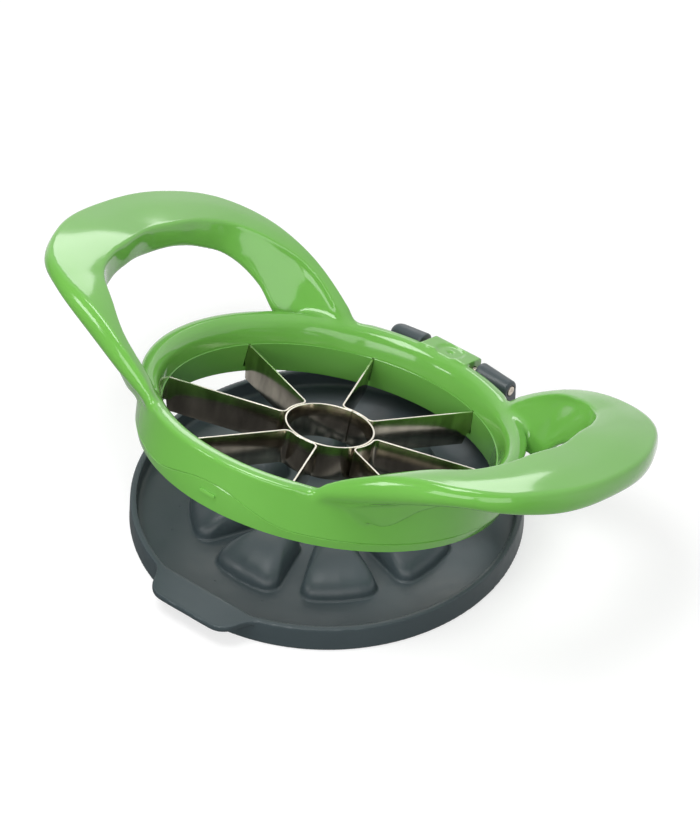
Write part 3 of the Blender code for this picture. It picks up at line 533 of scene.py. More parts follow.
def loop_section(side, theta):
    """One station of a handle's loop: its top, bulging side, underside and inner wall, going round."""
    bend = abs(theta)
    unit = polar(spline(LOOP_SHARES, 1, bend), math.radians(theta))
    width = GRIP_WIDTH * spline(LOOP_SHARES, 2, bend)
    top = LIP_TOP + HANDLE_RISE * spline(LOOP_SHARES, 3, bend)
    drop = GRIP_DROP * spline(LOOP_SHARES, 4, bend)
    wall = ARM_SIDE * spline(LOOP_SHARES, 5, bend)
    bulge = SIDE_BULGE * spline(LOOP_SHARES, 6, bend)
    lean = WALL_LEAN * spline(LOOP_SHARES, 7, bend)
    arm = Vector((unit.x * (HANDLE_REACH if unit.x > 0 else LOOP_SPREAD), unit.y * LOOP_SPREAD, 0))
    out = arm.normalized()
    start = Vector((LIP_RADIUS, 0, 0)) + arm - out * width
    crown = GRIP_CROWN * width / GRIP_WIDTH
    hem = -wall * 1.1
    upper = [(0, 0), (width * 0.3, crown * 0.8), (width * 0.6, crown), (width, 0)]
    outer = [(width, 0), (width + bulge * 0.7, -wall * 0.25), (width + bulge, -wall * 0.55),
             (width + bulge * 0.7, -wall * 0.85), (width - bulge * 0.3, hem)]
    foot = (INNER_BULGE * 1.2 - lean, -drop)
    deep = max(drop - wall * 1.1, 0)
    under = [(width - bulge * 0.3, hem), (width * 0.62, hem - deep * 0.04),
             (width * WEB_SHARE + INNER_BULGE * 1.5 - lean * 0.15, hem - deep * 0.2),
             (INNER_BULGE * 1.8 - lean * 0.5, hem - deep * 0.55), foot]
    inner = [foot, (-INNER_BULGE * 0.7 - lean, -drop * 0.86), (-INNER_BULGE - lean / 2, -drop * 0.5),
             (-INNER_BULGE * 0.6, -drop * 0.15), (0, 0)]
    runs = ((upper, 40), (outer, 20), (under, 24), (inner, 28))
    section = np.concatenate([spread(through(run), count) for run, count in runs])
    section = rounded_off(section, CREASE_ROUNDS)
    points = [start + out * across + Vector((0, 0, top + up)) for across, up in section]
    return [Vector((side * p.x, p.y, p.z)) for p in points]


def loop_solid(side, name):
    span = [LOOP_END_ANGLE * (2 * i / LOOP_STATIONS - 1) for i in range(LOOP_STATIONS + 1)]
    return lofted(name, [loop_section(side, theta) for theta in span])


def knuckle_solid():
    """The middle knuckle, flat on top as far as its rounded back, with the flange that carries it."""
    inner = wall_radius(HINGE.z) - KNUCKLE_BITE
    top, low = HINGE.z + KNUCKLE_RADIUS, HINGE.z - KNUCKLE_RADIUS
    outline = [(inner, low), (inner, top)]
    corner_y = HINGE.y + KNUCKLE_RADIUS - KNUCKLE_CORNER
    steps = 16
    for y, z, radius, start in ((corner_y, top - KNUCKLE_CORNER, KNUCKLE_CORNER, math.pi / 2),
                                (HINGE.y, HINGE.z, KNUCKLE_RADIUS, 0)):
        for i in range(steps + 1):
            angle = start - math.pi / 2 * i / steps
            outline.append((y + radius * math.cos(angle), z + radius * math.sin(angle)))
    ends = (-KNUCKLE_LEFT, KNUCKLE_RIGHT)
    return lofted("knuckle", [[Vector((x, y, z)) for y, z in outline] for x in ends])


def ear_share(along):
    """How wide an ear's head is, as a share, from its inner end at 0 to its outer one at 1."""
    return EAR_ROOT_SHARE + (EAR_TIP_SHARE - EAR_ROOT_SHARE) * along


def ear_notch(side):
    """Room in the ring for an ear's tapered head to turn in."""
    sections = []
    inner = KNUCKLE_LEFT if side < 0 else KNUCKLE_RIGHT
    for x, along in ((inner, 0.0), (EAR_OUTER_X + NOTCH_CLEARANCE, 1.0)):
        radius = EAR_RADIUS * ear_share(along) + NOTCH_CLEARANCE
        ring = [polar(radius, math.tau * i / 64) for i in range(64)]
        sections.append([Vector((side * x, HINGE.y + p.x, HINGE.z + p.y)) for p in ring])
    return lofted("notch", sections)


def build_shell():
    """The shell: ring, handles and knuckle in one skin, soft where a handle runs into the ring."""
    ring = ring_solid()
    loops = [loop_solid(1, "loop_right"), loop_solid(-1, "loop_left")]
    knuckle = knuckle_solid()
    for piece in loops + [knuckle]:
        cut(piece, [mouth_room()])
    y, top = HINGE.y - DIMPLE_INSET, HINGE.z + KNUCKLE_RADIUS
    above = (0, y, top + OVERRUN * 2)
    cut(knuckle, [rod("dimple", DIMPLE_RADIUS, (0, y, top - DIMPLE_DEPTH), above),
                  rod("pit", PIT_RADIUS, (0, y, top - PIT_DEPTH), above)])
    cut(ring, [ear_notch(-1), ear_notch(1)])
    ring_tree = tree_of(ring)
    loop_trees = [tree_of(loop) for loop in loops]
    whole = joined("shell", [ring, knuckle] + loops)
    surface = tree_of(whole)
    shell = remeshed(whole, VOXEL)
    points = coordinates(shell.data)
    beyond = np.maximum(np.abs(points[:, 0]) - EAR_OUTER_X - OVERRUN,
                        LIP_RADIUS - KNUCKLE_BITE - points[:, 1])
    near_loop = np.minimum(*[distance_to(tree, points) for tree in loop_trees])
    joint = eased_step(1 - np.maximum(distance_to(ring_tree, points), near_loop) / JOINT_REACH)
    snapped(shell, surface, np.where(joint < 1, (1 - joint) * eased_step(beyond / JOINT_REACH), 0))
    softened(shell, JOINT_ROUNDS, joint, shrinking=True)
    softened(shell, SKIN_ROUNDS)
    reach = EAR_OUTER_X + OVERRUN
    bore = rod("bore", PIN_RADIUS + GAP, (-reach, HINGE.y, HINGE.z), (reach, HINGE.y, HINGE.z))
    return cut(shell, [underside_room(), bore])


# Collar under the shell


def build_collar():
    """The collar under the shell, with its hollow, the blades' slots, the screws' holes and the bead."""
    floor = COLLAR_BOTTOM + COLLAR_FLOOR
    skirt = HOLLOW_OUTER - GAP
    foot = [
        (MOUTH_RADIUS + COLLAR_CHAMFER, SPLIT_INNER), (MOUTH_RADIUS, SPLIT_INNER - COLLAR_CHAMFER),
        (COLLAR_FOOT_INNER - COLLAR_CHAMFER, COLLAR_BOTTOM + COLLAR_EDGE * 1.5),
        (COLLAR_FOOT_INNER + COLLAR_EDGE * 0.3, COLLAR_BOTTOM + COLLAR_EDGE * 0.4),
        (COLLAR_FOOT_INNER + COLLAR_EDGE, COLLAR_BOTTOM), (COLLAR_FOOT_OUTER - COLLAR_EDGE, COLLAR_BOTTOM),
        (COLLAR_FOOT_OUTER - COLLAR_EDGE * 0.3, COLLAR_BOTTOM + COLLAR_EDGE * 0.3),
        (COLLAR_FOOT_OUTER, COLLAR_BOTTOM + COLLAR_EDGE),
    ]
    edge = SPLIT_GAP * 1.5
    sections = []
    for i in range(RING_STEPS):
        angle = math.tau * i / RING_STEPS
        top = split_height(angle) - SPLIT_GAP / 2
        profile = foot + [(wall_radius(top - edge), top - edge), (wall_radius(top) - edge, top),
                          (skirt, top), (skirt, floor), (HOLLOW_INNER, floor), (HOLLOW_INNER, SPLIT_INNER)]
        sections.append([polar(r, angle, z) for r, z in profile])
    collar = lofted("collar", sections, closed=True)
    cutters = []
    half = BLADE_THICKNESS / 2 + GAP / 3
    for k in range(BLADE_COUNT):
        slot = box_solid("slot", (MOUTH_RADIUS - OVERRUN * 2, -half, BLADE_TAB_BOTTOM - GAP),
                         (MOUTH_RADIUS + BLADE_SEAT + GAP, half, SPLIT_INNER + OVERRUN))
        slot.data.transform(Matrix.Rotation((k + 0.5) * SECTOR, 4, "Z"))
        cutters.append(slot)
    for k in range(SCREW_COUNT):
        centre = polar(SCREW_CIRCLE, (k + 0.5) * math.tau / SCREW_COUNT)
        for radius, high in ((SCREW_RADIUS + GAP, LIP_TOP),
                             (SCREW_HEAD_RADIUS + GAP, COLLAR_BOTTOM + SCREW_HEAD_HEIGHT + GAP)):
            cutters.append(rod("hole", radius, centre, centre + Vector((0, 0, high))))
    cut(collar, cutters)
    radius = wall_radius(BEAD_Z)
    sections = []
    for along, tall in ((-0.5, 0.3), (-0.47, 0.7), (-0.4, 1.0), (0.4, 1.0), (0.47, 0.7), (0.5, 0.3)):
        x = BEAD_X + BEAD_LENGTH * along
        half = BEAD_HEIGHT / 2 * tall
        outline = ((-OVERRUN, -half), (BEAD_PROUD * tall * 0.7, -half), (BEAD_PROUD * tall, -half * 0.5),
                   (BEAD_PROUD * tall, half * 0.5), (BEAD_PROUD * tall * 0.7, half), (-OVERRUN, half))
        sections.append([Vector((x, -radius - out, BEAD_Z + up)) for out, up in outline])
    return cut(collar, [lofted("bead", sections)], "UNION")


# Blades and corer


def strip(name, path, thickness, bottoms):
    """An upright strip along a path, sharpened below, with a narrow chamfer above and a UV map along it."""
    rings = []
    run = 0.0
    runs = []
    for i, point in enumerate(path):
        if i:
            run += (point - path[i - 1]).length
        runs.append(run)
        ahead = path[min(i + 1, len(path) - 1)] - path[max(i - 1, 0)]
        across = Vector((-ahead.y, ahead.x, 0)).normalized()
        low = bottoms[i]
        levels = ((low, BLADE_EDGE), (low + BLADE_BEVEL, thickness), (BLADE_TOP - TOP_CHAMFER, thickness),
                  (BLADE_TOP, thickness - TOP_CHAMFER))
        left = [point + across * (w / 2) + Vector((0, 0, z)) for z, w in levels]
        right = [point - across * (w / 2) + Vector((0, 0, z)) for z, w in reversed(levels)]
        rings.append(left + right)
    made = lofted(name, rings)
    mesh = made.data
    uv = mesh.uv_layers.new(name="strip")
    around = len(rings[0])
    for loop in mesh.loops:
        i, k = divmod(loop.vertex_index, around)
        uv.data[loop.index].uv = (runs[i] / UV_LENGTH, rings[i][k].z / UV_LENGTH)
    return made


def blade_path(first, last):
    """Two blades and the bend round the corer that joins them: the path, and the strip's bottom along it."""
    wrap = CORER_RADIUS + GAP / 2 + BLADE_THICKNESS / 2
    end = MOUTH_RADIUS + BLADE_SEAT
    reach = wrap + BLADE_FILLET
    turn = math.asin(BLADE_FILLET / reach)
    tangent = math.sqrt(reach**2 - BLADE_FILLET**2)
    full = MOUTH_RADIUS - BLADE_FULL_INSET
    stops = [end, MOUTH_RADIUS - BLADE_TAB_INSET, full]
    stops += [full - (full - tangent) * i / 10 for i in range(1, 10)]
    half = [polar(r, first) for r in stops]
    centre = polar(reach, first + turn)
    swing = math.pi / 2 - turn
    fillet_steps, arc_steps = 10, 16
    for i in range(fillet_steps + 1):
        half.append(centre + polar(BLADE_FILLET, first - math.pi / 2 - swing * i / fillet_steps))
    span = last - first - 2 * turn
    arc = [polar(wrap, first + turn + span * i / arc_steps) for i in range(1, arc_steps)]
    middle = (first + last) / 2
    mirrored = [polar(p.length, 2 * middle - math.atan2(p.y, p.x)) for p in reversed(half)]
    path = half + arc + mirrored
    bottoms = [BLADE_BOTTOM] * len(path)
    for i in (0, 1, -2, -1):
        bottoms[i] = BLADE_TAB_BOTTOM
    return path, bottoms


def build_blades():
    made = []
    for k in range(BLADE_COUNT // 2):
        first = (2 * k + 1.5) * SECTOR
        path, bottoms = blade_path(first, first + SECTOR)
        made.append(strip(f"blades_{k + 1}", path, BLADE_THICKNESS, bottoms))
    return made


def build_corer():
    """The corer, a strip rolled to a ring that is open at its seam."""
    middle = CORER_RADIUS - CORER_THICKNESS / 2
    slack = CORER_SEAM / middle / 2
    steps = 144
    span = math.tau - 2 * slack
    path = [polar(middle, CORER_SEAM_ANGLE + slack + span * i / steps) for i in range(steps + 1)]
    return strip("corer", path, CORER_THICKNESS, [BLADE_BOTTOM] * len(path))


# Base


def ear_solid(side):
    """A hinge ear: a post with a tapered head about the pin. The left one's head ends in a dome."""
    back = HINGE.y + EAR_RADIUS
    front = back - EAR_POST_THICKNESS
    turn = math.pi + math.asin(math.sqrt(1 - ((HINGE.y - front) / EAR_RADIUS) ** 2))
    steps = 40
    outline = [(front, OVERRUN), (back, OVERRUN)]
    for i in range(steps + 1):
        angle = turn * i / steps
        outline.append((HINGE.y + EAR_RADIUS * math.cos(angle), HINGE.z + EAR_RADIUS * math.sin(angle)))
    length = EAR_OUTER_X - EAR_INNER_X
    end = EAR_DOME if side < 0 else EAR_EDGE
    stations = [(0.0, -EAR_EDGE * 0.4), (EAR_EDGE * 0.4, 0.0), (length - end, 0.0)]
    deep = min(end, EAR_RADIUS * 0.6)
    for i in range(1, 8):
        bend = math.pi / 2 * i / 8
        stations.append((length - end + end * math.sin(bend), -deep * (1 - math.cos(bend))))
    sections = []
    for along, inset in stations:
        share = ear_share(along / length) + inset / EAR_RADIUS
        sections.append([Vector((side * (EAR_INNER_X + along), HINGE.y + (y - HINGE.y) * share,
                                 HINGE.z + (z - HINGE.z) * share if z > RIM_TOP else z)) for y, z in outline])
    return lofted("ear", sections)


def ear_foot(side):
    """What stands under an ear, between it and the rim."""
    seat = TRAY_RADIUS + RIM_WIDTH / 2
    inner, outer = EAR_INNER_X - EAR_FOOT_FLARE, EAR_OUTER_X + EAR_FOOT_FLARE
    back = HINGE.y + EAR_RADIUS + EAR_FOOT_FLARE
    outline = [(inner, math.sqrt(seat**2 - inner**2)), (outer, math.sqrt(seat**2 - outer**2)),
               (outer, back), (inner, back)]
    return lofted("ear_foot", [[Vector((side * x, y, z)) for x, y in outline]
                               for z in (EAR_FOOT_LOW, RIM_TOP - RIM_WIDTH / 2)])


def rounded_corner(before, corner, after, radius, steps):
    """Points of a round that replaces a corner between two straight runs."""
    to_before = (before - corner).normalized()
    to_after = (after - corner).normalized()
    half = to_before.angle(to_after) / 2
    centre = corner + (to_before + to_after).normalized() * (radius / math.sin(half))
    first = corner + to_before * (radius / math.tan(half)) - centre
    last = corner + to_after * (radius / math.tan(half)) - centre
    whole = first.angle(last)
    return [centre + (first * math.sin((1 - i / steps) * whole) + last * math.sin(i / steps * whole))
            / math.sin(whole) for i in range(steps + 1)]


def tab_solids():
    """The tab's plate, and what fills the rim's bow behind it up to a straight edge."""
    half = [Vector((x * MM, y * MM, 0)) for x, y in through(TAB_CURVE, 5)]
    outline = half + [Vector((-p.x, p.y, 0)) for p in reversed(half[:-1])]
    low, high = RIM_TOP - TAB_THICKNESS, RIM_TOP
    bends = [math.pi / 2 * i / 6 for i in range(7)]
    levels = [(TAB_EDGE * (1 - math.sin(bend)), low + TAB_EDGE * (1 - math.cos(bend))) for bend in bends]
    levels += [(inset, low + high - z) for inset, z in reversed(levels)]
    front = max(-p.y for p in outline)
    plate = lofted("tab", [[p * (1 - inset / front) + Vector((0, 0, z)) for p in outline]
                           for inset, z in levels])
    half_chord = math.sqrt(TRAY_RADIUS**2 - TAB_INNER_CHORD**2)
    span = math.atan2(half_chord + RIM_WIDTH / 2, TAB_INNER_CHORD)
    steps = 40
    bow = [polar(RIM_RADIUS - RIM_WIDTH / 2, -math.pi / 2 - span + 2 * span * i / steps)
           for i in range(steps + 1)]
    sections = []
    for inset, z in ((0.0, FLOOR_TOP - FLOOR_THICKNESS / 2), (0.0, high - TAB_EDGE),
                     (TAB_EDGE * 0.3, high - TAB_EDGE * 0.3), (TAB_EDGE, high)):
        bow[0].y = bow[-1].y = -TAB_INNER_CHORD - inset
        sections.append([p + Vector((0, 0, z)) for p in bow])
    return [plate, lofted("segment", sections)]


def wedge_outline(inset_in, inset_out, inset_side, corner):
    """A pusher's outline seen from above, pointing along +X, drawn in by an inset at each side."""
    inner = PUSHER_INNER_RADIUS + inset_in
    outer = PUSHER_OUTER_RADIUS - inset_out
    side = inset_side / math.cos(PUSHER_HALF_ANGLE)
    edge_x = outer * math.cos(PUSHER_HALF_ANGLE)
    a = Vector((inner, side - inner * math.tan(PUSHER_HALF_ANGLE), 0))
    b = Vector((edge_x, side - edge_x * math.tan(PUSHER_HALF_ANGLE), 0))
    tip = Vector((outer, 0, 0))
    bow = (b + tip) / 2 + Vector((outer * (1 - math.cos(PUSHER_HALF_ANGLE / 2)), 0, 0))
    half = rounded_corner(Vector((inner, 0, 0)), a, b, min(corner, -a.y * 0.8), 8)
    half += rounded_corner(a, b, bow, min(corner, -b.y * 0.43), 12)
    half.append(bow)
    return half + [tip] + [Vector((p.x, -p.y, 0)) for p in reversed(half)]


def pusher_solid(k):
    """A pusher: a low foot under a dome that falls away over its outer end."""
    shoulder = FLOOR_TOP + PUSHER_FOOT
    levels = [(0.0, FLOOR_TOP - FLOOR_THICKNESS / 2), (0.0, FLOOR_TOP)]
    levels += [(1 - math.cos(bend), shoulder + (PUSHER_TOP - shoulder) * math.sin(bend))
               for bend in (math.pi / 2 * i / 24 for i in range(25))]
    sections = []
    for fall, z in levels:
        outline = wedge_outline(PUSHER_FALL_IN * fall, PUSHER_FALL_OUT * fall, PUSHER_FALL_SIDE * fall,
                                PUSHER_CORNER)
        sections.append([p + Vector((0, 0, z)) for p in outline])
    pusher = lofted("pusher", sections)
    pusher.data.transform(Matrix.Rotation(k * SECTOR, 4, "Z"))
    return pusher


def pusher_hollow(k):
    """The hollow under a pusher, which leaves an even wall."""
    corner = PUSHER_CORNER - PUSHER_WALL / 2
    low, high = PUSHER_WALL, PUSHER_WALL + PUSHER_DRAFT
    sections = []
    for inset, far, z in ((low, low, FLOOR_TOP - FLOOR_THICKNESS - OVERRUN),
                          (high, high + PUSHER_FALL_OUT * 0.3, PUSHER_TOP - PUSHER_WALL * 1.6)):
        sections.append([p + Vector((0, 0, z)) for p in wedge_outline(inset, far, inset, corner)])
    hollow = lofted("hollow", sections)
    hollow.data.transform(Matrix.Rotation(k * SECTOR, 4, "Z"))
    return hollow


def plate_profile():
    """Half of the plate's section: its tray, rim, foot and hub."""
    rounds = ((TRAY_FILLET, TRAY_RADIUS, FLOOR_TOP), (RIM_INNER_ROUND, TRAY_RADIUS, RIM_TOP),
              (RIM_OUTER_ROUND, RIM_RADIUS, RIM_TOP))
    rim = [(radius + out * MM, height + up * MM) for points, radius, height in rounds for out, up in points]
    rim = through(rim + [(BASE_RADIUS, BASE_EDGE)], 3)
    ceiling = FLOOR_TOP - FLOOR_THICKNESS
    return [(0, FLOOR_TOP)] + rim + [
        (BASE_RADIUS - BASE_EDGE, 0), (BASE_RADIUS - FOOT_WIDTH, 0), (BASE_RADIUS - FOOT_WIDTH, ceiling),
        (HUB_RADIUS, ceiling), (HUB_RADIUS, 0), (0, 0)]


def build_base():
    """The base in one skin: plate, tab, pushers and hinge ears, hollow below."""
    solids = [disc("plate", plate_profile())] + tab_solids() + [pusher_solid(k) for k in range(BLADE_COUNT)]
    for side in (-1, 1):
        solids += [ear_solid(side), ear_foot(side)]
    whole = joined("base", solids)
    surface = tree_of(whole)
    base = remeshed(whole, VOXEL)
    snapped(base, surface, np.full(len(base.data.vertices), BASE_SNAP_SHARE))
    softened(base, SKIN_ROUNDS)
    cutters = [pusher_hollow(k) for k in range(BLADE_COUNT)]
    cutters.append(rod("bore", PIN_RADIUS + GAP, (-EAR_INNER_X - PIN_SEAT - GAP, HINGE.y, HINGE.z),
                       (EAR_OUTER_X + OVERRUN, HINGE.y, HINGE.z)))
    dots = []
    for radius, angle in DOT_PLACES:
        centre = polar(radius * MM, math.radians(angle), FLOOR_TOP + DOT_RISE)
        dots.append(rod("dot", DOT_RADIUS, centre, centre - Vector((0, 0, FLOOR_THICKNESS / 2)), 24))
    return cut(cut(base, cutters), dots, "UNION")


def build_pin():
    """The pin, seated in the left ear's dome, with a dished end on the right."""
    right = EAR_OUTER_X + PIN_PROUD
    left = -EAR_INNER_X - PIN_SEAT
    chamfer = PIN_CHAMFER
    stations = [(left, PIN_RADIUS - chamfer), (left + chamfer, PIN_RADIUS), (right - chamfer, PIN_RADIUS),
                (right - chamfer * 0.3, PIN_RADIUS - chamfer * 0.3), (right, PIN_RADIUS - chamfer),
                (right, PIN_RADIUS * 0.55), (right - chamfer * 0.2, PIN_RADIUS * 0.45),
                (right - chamfer, PIN_RADIUS * 0.25)]
    steps = 48
    sections = []
    for x, radius in stations:
        ring = [polar(radius, math.tau * i / steps) for i in range(steps)]
        sections.append([Vector((x, HINGE.y + p.x, HINGE.z + p.y)) for p in ring])
    return lofted("pin", sections)


# Materials


def shader_of(name):
    """A new material with its nodes, links and shader."""
    material = bpy.data.materials.new(name)
    material.use_nodes = True
    tree = material.node_tree
    return material, tree.nodes, tree.links, tree.nodes["Principled BSDF"]


def noise_at(nodes, links, scale, detail, vector):
    noise = nodes.new("ShaderNodeTexNoise")
    noise.inputs["Scale"].default_value = scale
    noise.inputs["Detail"].default_value = detail
    links.new(vector, noise.inputs["Vector"])
    return noise.outputs["Fac"]


def ramp(nodes, links, source, stops):
    """Colours, or greys, at stops along a source."""
    made = nodes.new("ShaderNodeValToRGB")
    elements = made.color_ramp.elements
    while len(elements) < len(stops):
        elements.new(0.5)
    for element, (place, colour) in zip(elements, stops):
        element.position = place
        element.color = (*colour[:3], 1.0)
    links.new(source, made.inputs["Fac"])
    return made.outputs["Color"]


def bump_on(nodes, links, shader, height, strength, distance):
    bump = nodes.new("ShaderNodeBump")
    bump.inputs["Strength"].default_value = strength
    bump.inputs["Distance"].default_value = distance
    links.new(height, bump.inputs["Height"])
    links.new(bump.outputs["Normal"], shader.inputs["Normal"])


def grey(value):
    return (value, value, value, 1.0)


def stretched(nodes, links, source, scale, turn=(0, 0, 0)):
    """A texture's coordinates, scaled along their axes and turned."""
    mapping = nodes.new("ShaderNodeMapping")
    mapping.inputs["Scale"].default_value = scale
    mapping.inputs["Rotation"].default_value = turn
    links.new(source, mapping.inputs["Vector"])
    return mapping.outputs["Vector"]


def maths(nodes, links, operation, first, second):
    made = nodes.new("ShaderNodeMath")
    made.operation = operation
    for socket, value in zip(made.inputs, (first, second)):
        if isinstance(value, (int, float)):
            socket.default_value = value
        else:
            links.new(value, socket)
    return made.outputs[0]


def eased(nodes, links, source, low, high, out_low, out_high):
    """A source's range, mapped with a soft start and end."""
    made = nodes.new("ShaderNodeMapRange")
    made.interpolation_type = "SMOOTHSTEP"
    for name, value in (("From Min", low), ("From Max", high), ("To Min", out_low), ("To Max", out_high)):
        made.inputs[name].default_value = value
    links.new(source, made.inputs["Value"])
    return made.outputs["Result"]


def mixed(nodes, links, share, first, second):
    made = nodes.new("ShaderNodeMix")
    made.data_type = "RGBA"
    for socket, value in ((made.inputs[0], share), (made.inputs[6], first), (made.inputs[7], second)):
        if isinstance(value, (tuple, float, int)):
            socket.default_value = value
        else:
            links.new(value, socket)
    return made.outputs[2]


def green_plastic():
    """Glossy plastic with a hint of cloud in its colour and fine scratches in its gloss."""
    material, nodes, links, shader = shader_of("green_gloss")
    place = nodes.new("ShaderNodeTexCoord").outputs["Object"]
    cloud = noise_at(nodes, links, 28.0, 3.0, place)
    links.new(ramp(nodes, links, cloud, [(0.3, GREEN_DARK), (0.7, GREEN_LIGHT)]), shader.inputs["Base Color"])
    along = stretched(nodes, links, place, (1.0, 14.0, 1.0), (0.3, 0.5, 0.9))
    scratches = noise_at(nodes, links, 90.0, 2.0, along)
    links.new(ramp(nodes, links, scratches, [(0.35, grey(0.11)), (0.72, grey(0.15)), (0.8, grey(0.24))]),
              shader.inputs["Roughness"])
    shader.inputs["IOR"].default_value = 1.5
    shader.inputs["Coat Weight"].default_value = 0.3
    shader.inputs["Coat Roughness"].default_value = 0.05
    shader.inputs["Subsurface Weight"].default_value = 0.06
    shader.inputs["Subsurface Radius"].default_value = (0.6, 1.0, 0.3)
    shader.inputs["Subsurface Scale"].default_value = 0.0015
    bump_on(nodes, links, shader, noise_at(nodes, links, 160.0, 2.0, place), 0.25, 0.00004)
    return material


def slate_plastic():
    """Satin plastic with a fine grain."""
    material, nodes, links, shader = shader_of("slate_plastic")
    place = nodes.new("ShaderNodeTexCoord").outputs["Object"]
    cloud = noise_at(nodes, links, 35.0, 3.0, place)
    links.new(ramp(nodes, links, cloud, [(0.3, SLATE_DARK), (0.7, SLATE_LIGHT)]), shader.inputs["Base Color"])
    worn = noise_at(nodes, links, 210.0, 4.0, place)
    links.new(ramp(nodes, links, worn, [(0.3, grey(0.34)), (0.7, grey(0.44))]), shader.inputs["Roughness"])
    shader.inputs["IOR"].default_value = 1.5
    bump_on(nodes, links, shader, noise_at(nodes, links, 2600.0, 2.0, place), 0.3, 0.00002)
    return material


def rolled_steel():
    """Sheet steel with rolling lines along the strip, upright patches of random tone that also paint in
    streaky reflections, and a painted highlight along the upper edge.
    """
    material, nodes, links, shader = shader_of("blade_steel")
    place = nodes.new("ShaderNodeUVMap")
    place.uv_map = "strip"
    lines = noise_at(nodes, links, 3.0, 5.0, stretched(nodes, links, place.outputs["UV"], (0.35, 30.0, 1.0)))
    # Upright patches of lighter and darker steel: random tone that also stands in for painted streaky
    # reflections.
    patches_and_reflections = noise_at(nodes, links, 1.6, 3.0, stretched(nodes, links, place.outputs["UV"], (1.0, 0.35, 1.0)))
    low = tuple(c * 0.6 for c in BLADE_FACE)
    high = tuple(c * 1.45 for c in BLADE_FACE)
    face = ramp(nodes, links, patches_and_reflections, [(0.3, low), (0.7, high)])
    split = nodes.new("ShaderNodeSeparateXYZ")
    links.new(place.outputs["UV"], split.inputs["Vector"])
    # The top chamfer gets the lighter colour: a painted highlight for the light it catches from above.
    highlight_low = (BLADE_TOP - TOP_CHAMFER * 1.2) / UV_LENGTH
    rim = maths(nodes, links, "GREATER_THAN", split.outputs["Y"], highlight_low)
    links.new(mixed(nodes, links, rim, face, BLADE_EDGE_HIGHLIGHT + (1,)), shader.inputs["Base Color"])
    gloss = [(0.3, grey(BLADE_ROUGHNESS * 0.8)), (0.7, grey(BLADE_ROUGHNESS * 1.35))]
    links.new(ramp(nodes, links, lines, gloss), shader.inputs["Roughness"])
    shader.inputs["Metallic"].default_value = 1.0
    bump_on(nodes, links, shader, lines, 0.12, 0.00003)
    return material


def turned_steel():
    """The pin's and the screws' steel."""
    material, nodes, links, shader = shader_of("fastener_steel")
    place = nodes.new("ShaderNodeTexCoord").outputs["Object"]
    cloud = noise_at(nodes, links, 600.0, 3.0, place)
    links.new(ramp(nodes, links, cloud, [(0.3, FASTENER_DARK), (0.7, FASTENER_LIGHT)]),
              shader.inputs["Base Color"])
    shader.inputs["Metallic"].default_value = 1.0
    worn = noise_at(nodes, links, 900.0, 2.0, place)
    links.new(ramp(nodes, links, worn, [(0.3, grey(0.22)), (0.7, grey(0.34))]), shader.inputs["Roughness"])
    return material


# Stage, lights and camera


def camera_rays(nodes, links):
    """1 for rays that see the background straight, mirrored or through glass, and 1 for the mirrored ones."""
    path = nodes.new("ShaderNodeLightPath")
    total = path.outputs["Is Camera Ray"]
    for name in ("Is Glossy Ray", "Is Transmission Ray"):
        total = maths(nodes, links, "MAXIMUM", total, path.outputs[name])
    return total, path.outputs["Is Glossy Ray"]


def mirrored_shade(nodes, links, coordinate, glossy, low, high):
    """White, but for mirrored rays that meet the dim side of the room, which lies before the object."""
    split = nodes.new("ShaderNodeSeparateXYZ")
    links.new(nodes.new("ShaderNodeTexCoord").outputs[coordinate], split.inputs["Vector"])
    depth = eased(nodes, links, split.outputs["Y"], low, high, FRONT_SHADE, 1.0)
    return mixed(nodes, links, glossy, grey(1.0), depth)


def build_floor():
    """A grey floor that glows up to white where it is seen, so that it keeps the object's shadow."""
    bm = bmesh.new()
    bmesh.ops.create_grid(bm, x_segments=8, y_segments=8, size=FLOOR_HALF)
    floor = from_bmesh("floor", bm)
    scratch.objects.unlink(floor)
    bpy.context.scene.collection.objects.link(floor)
    floor.location = (0, 0, BASE_LOW.z - FLOOR_DROP)
    material, nodes, links, shader = shader_of("floor")
    seen, glossy = camera_rays(nodes, links)
    shade = mirrored_shade(nodes, links, "Object", glossy, *FLOOR_DIM)
    links.new(mixed(nodes, links, shade, grey(0.0), grey(FLOOR_COLOUR)), shader.inputs["Base Color"])
    shader.inputs["Roughness"].default_value = 0.9
    shader.inputs["Specular IOR Level"].default_value = 0.0
    links.new(shade, shader.inputs["Emission Color"])
    links.new(maths(nodes, links, "MULTIPLY", seen, FLOOR_GLOW), shader.inputs["Emission Strength"])
    floor.data.materials.append(material)


def build_world():
    world = bpy.data.worlds.new("studio")
    bpy.context.scene.world = world
    world.use_nodes = True
    nodes, links = world.node_tree.nodes, world.node_tree.links
    background = nodes["Background"]
    seen, glossy = camera_rays(nodes, links)
    links.new(mirrored_shade(nodes, links, "Generated", glossy, *ROOM_DIM), background.inputs["Color"])
    links.new(eased(nodes, links, seen, 0.0, 1.0, WORLD_LEVEL, 1.0), background.inputs["Strength"])


def softbox(name, place, width, height, radiance, aim=LAMP_AIM):
    """A lamp as a glowing rectangle, where a radiance of 1 looks white in a mirror."""
    light = bpy.data.lights.new(name, "AREA")
    light.shape = "RECTANGLE"
    light.size = width
    light.size_y = height
    light.energy = radiance * math.pi * width * height
    lamp = bpy.data.objects.new(name, light)
    bpy.context.scene.collection.objects.link(lamp)
    lamp.location = place
    lamp.rotation_euler = (Vector(aim) - Vector(place)).to_track_quat("-Z", "Y").to_euler()


def build_lights():
    softbox("overhead", (-0.15, -0.25, 1.0), 0.45, 0.45, 7.5)
    softbox("window", (-0.66, 1.0, 0.64), 0.46, 0.42, 3.3, aim=(-0.08, -0.01, 0.07))
    softbox("front", (0.1, -1.3, 0.7), 0.9, 0.5, 3.6)
    softbox("key", (1.0, -0.9, 0.75), 1.0, 0.8, 2.2)
    softbox("left_front", (-0.75, -0.95, 0.62), 0.3, 0.3, 7.0)


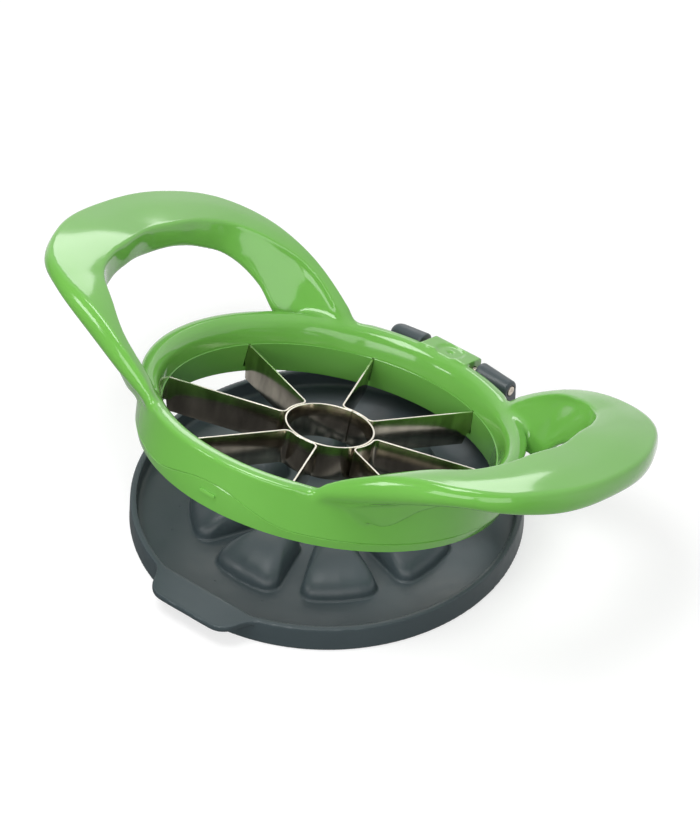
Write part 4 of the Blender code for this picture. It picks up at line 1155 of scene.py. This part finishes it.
def build_camera():
    flat = math.cos(CAMERA_ELEVATION)
    back = Vector((math.sin(CAMERA_AZIMUTH) * flat, -math.cos(CAMERA_AZIMUTH) * flat,
                   math.sin(CAMERA_ELEVATION)))
    right = polar(1, CAMERA_AZIMUTH)
    up = back.cross(right)
    rolled_right = right * math.cos(CAMERA_ROLL) + up * math.sin(CAMERA_ROLL)
    rolled_up = -right * math.sin(CAMERA_ROLL) + up * math.cos(CAMERA_ROLL)
    data = bpy.data.cameras.new("camera")
    data.sensor_fit = "AUTO"
    data.sensor_width = SENSOR_WIDTH
    data.lens = FOCAL_PIXELS / IMAGE_HEIGHT * SENSOR_WIDTH
    camera = bpy.data.objects.new("camera", data)
    bpy.context.scene.collection.objects.link(camera)
    placed = Matrix((rolled_right, rolled_up, back)).transposed().to_4x4()
    placed.translation = CAMERA_AIM + back * CAMERA_DISTANCE
    camera.matrix_world = placed
    bpy.context.scene.camera = camera


def finished(piece, body, material, nodes, moving=True):
    """Shades a piece, gives it its material and lets it ride on its body in place of the CAD nodes."""
    scratch.objects.unlink(piece)
    bpy.context.scene.collection.objects.link(piece)
    if moving:
        turn = (Matrix.Translation(HINGE) @ Matrix.Rotation(-REST_OPENING, 4, "X")
                @ Matrix.Translation(-HINGE))
        piece.data.transform(turn)
    piece.data.shade_smooth()
    piece.data.set_sharp_from_angle(angle=SHARP_ANGLE)
    piece.data.materials.clear()
    piece.data.materials.append(material)
    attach(piece, body)
    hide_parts(*nodes)


# The scene

bpy.context.scene.view_settings.view_transform = "Standard"
build_camera()
build_world()
build_lights()
build_floor()

green, slate = green_plastic(), slate_plastic()
steel, bright = rolled_steel(), turned_steel()
finished(build_shell(), "cutting_frame", green, ["handle_frame"])
finished(build_collar(), "cutting_frame", green, ["blade_collar"])
finished(build_corer(), "cutting_frame", steel, ["corer_ring"])
for number, blades in enumerate(build_blades(), start=1):
    finished(blades, "cutting_frame", steel, [f"blade_pair_{number}"])
finished(build_base(), "base", slate, ["base_plate"], moving=False)
finished(build_pin(), "base", bright, ["hinge_pin"], moving=False)
for number in range(1, SCREW_COUNT + 1):
    screw = frame["nodes"][f"collar_screw_{number}"]
    screw.data.materials.clear()
    screw.data.materials.append(bright)

bpy.data.collections.remove(scratch)
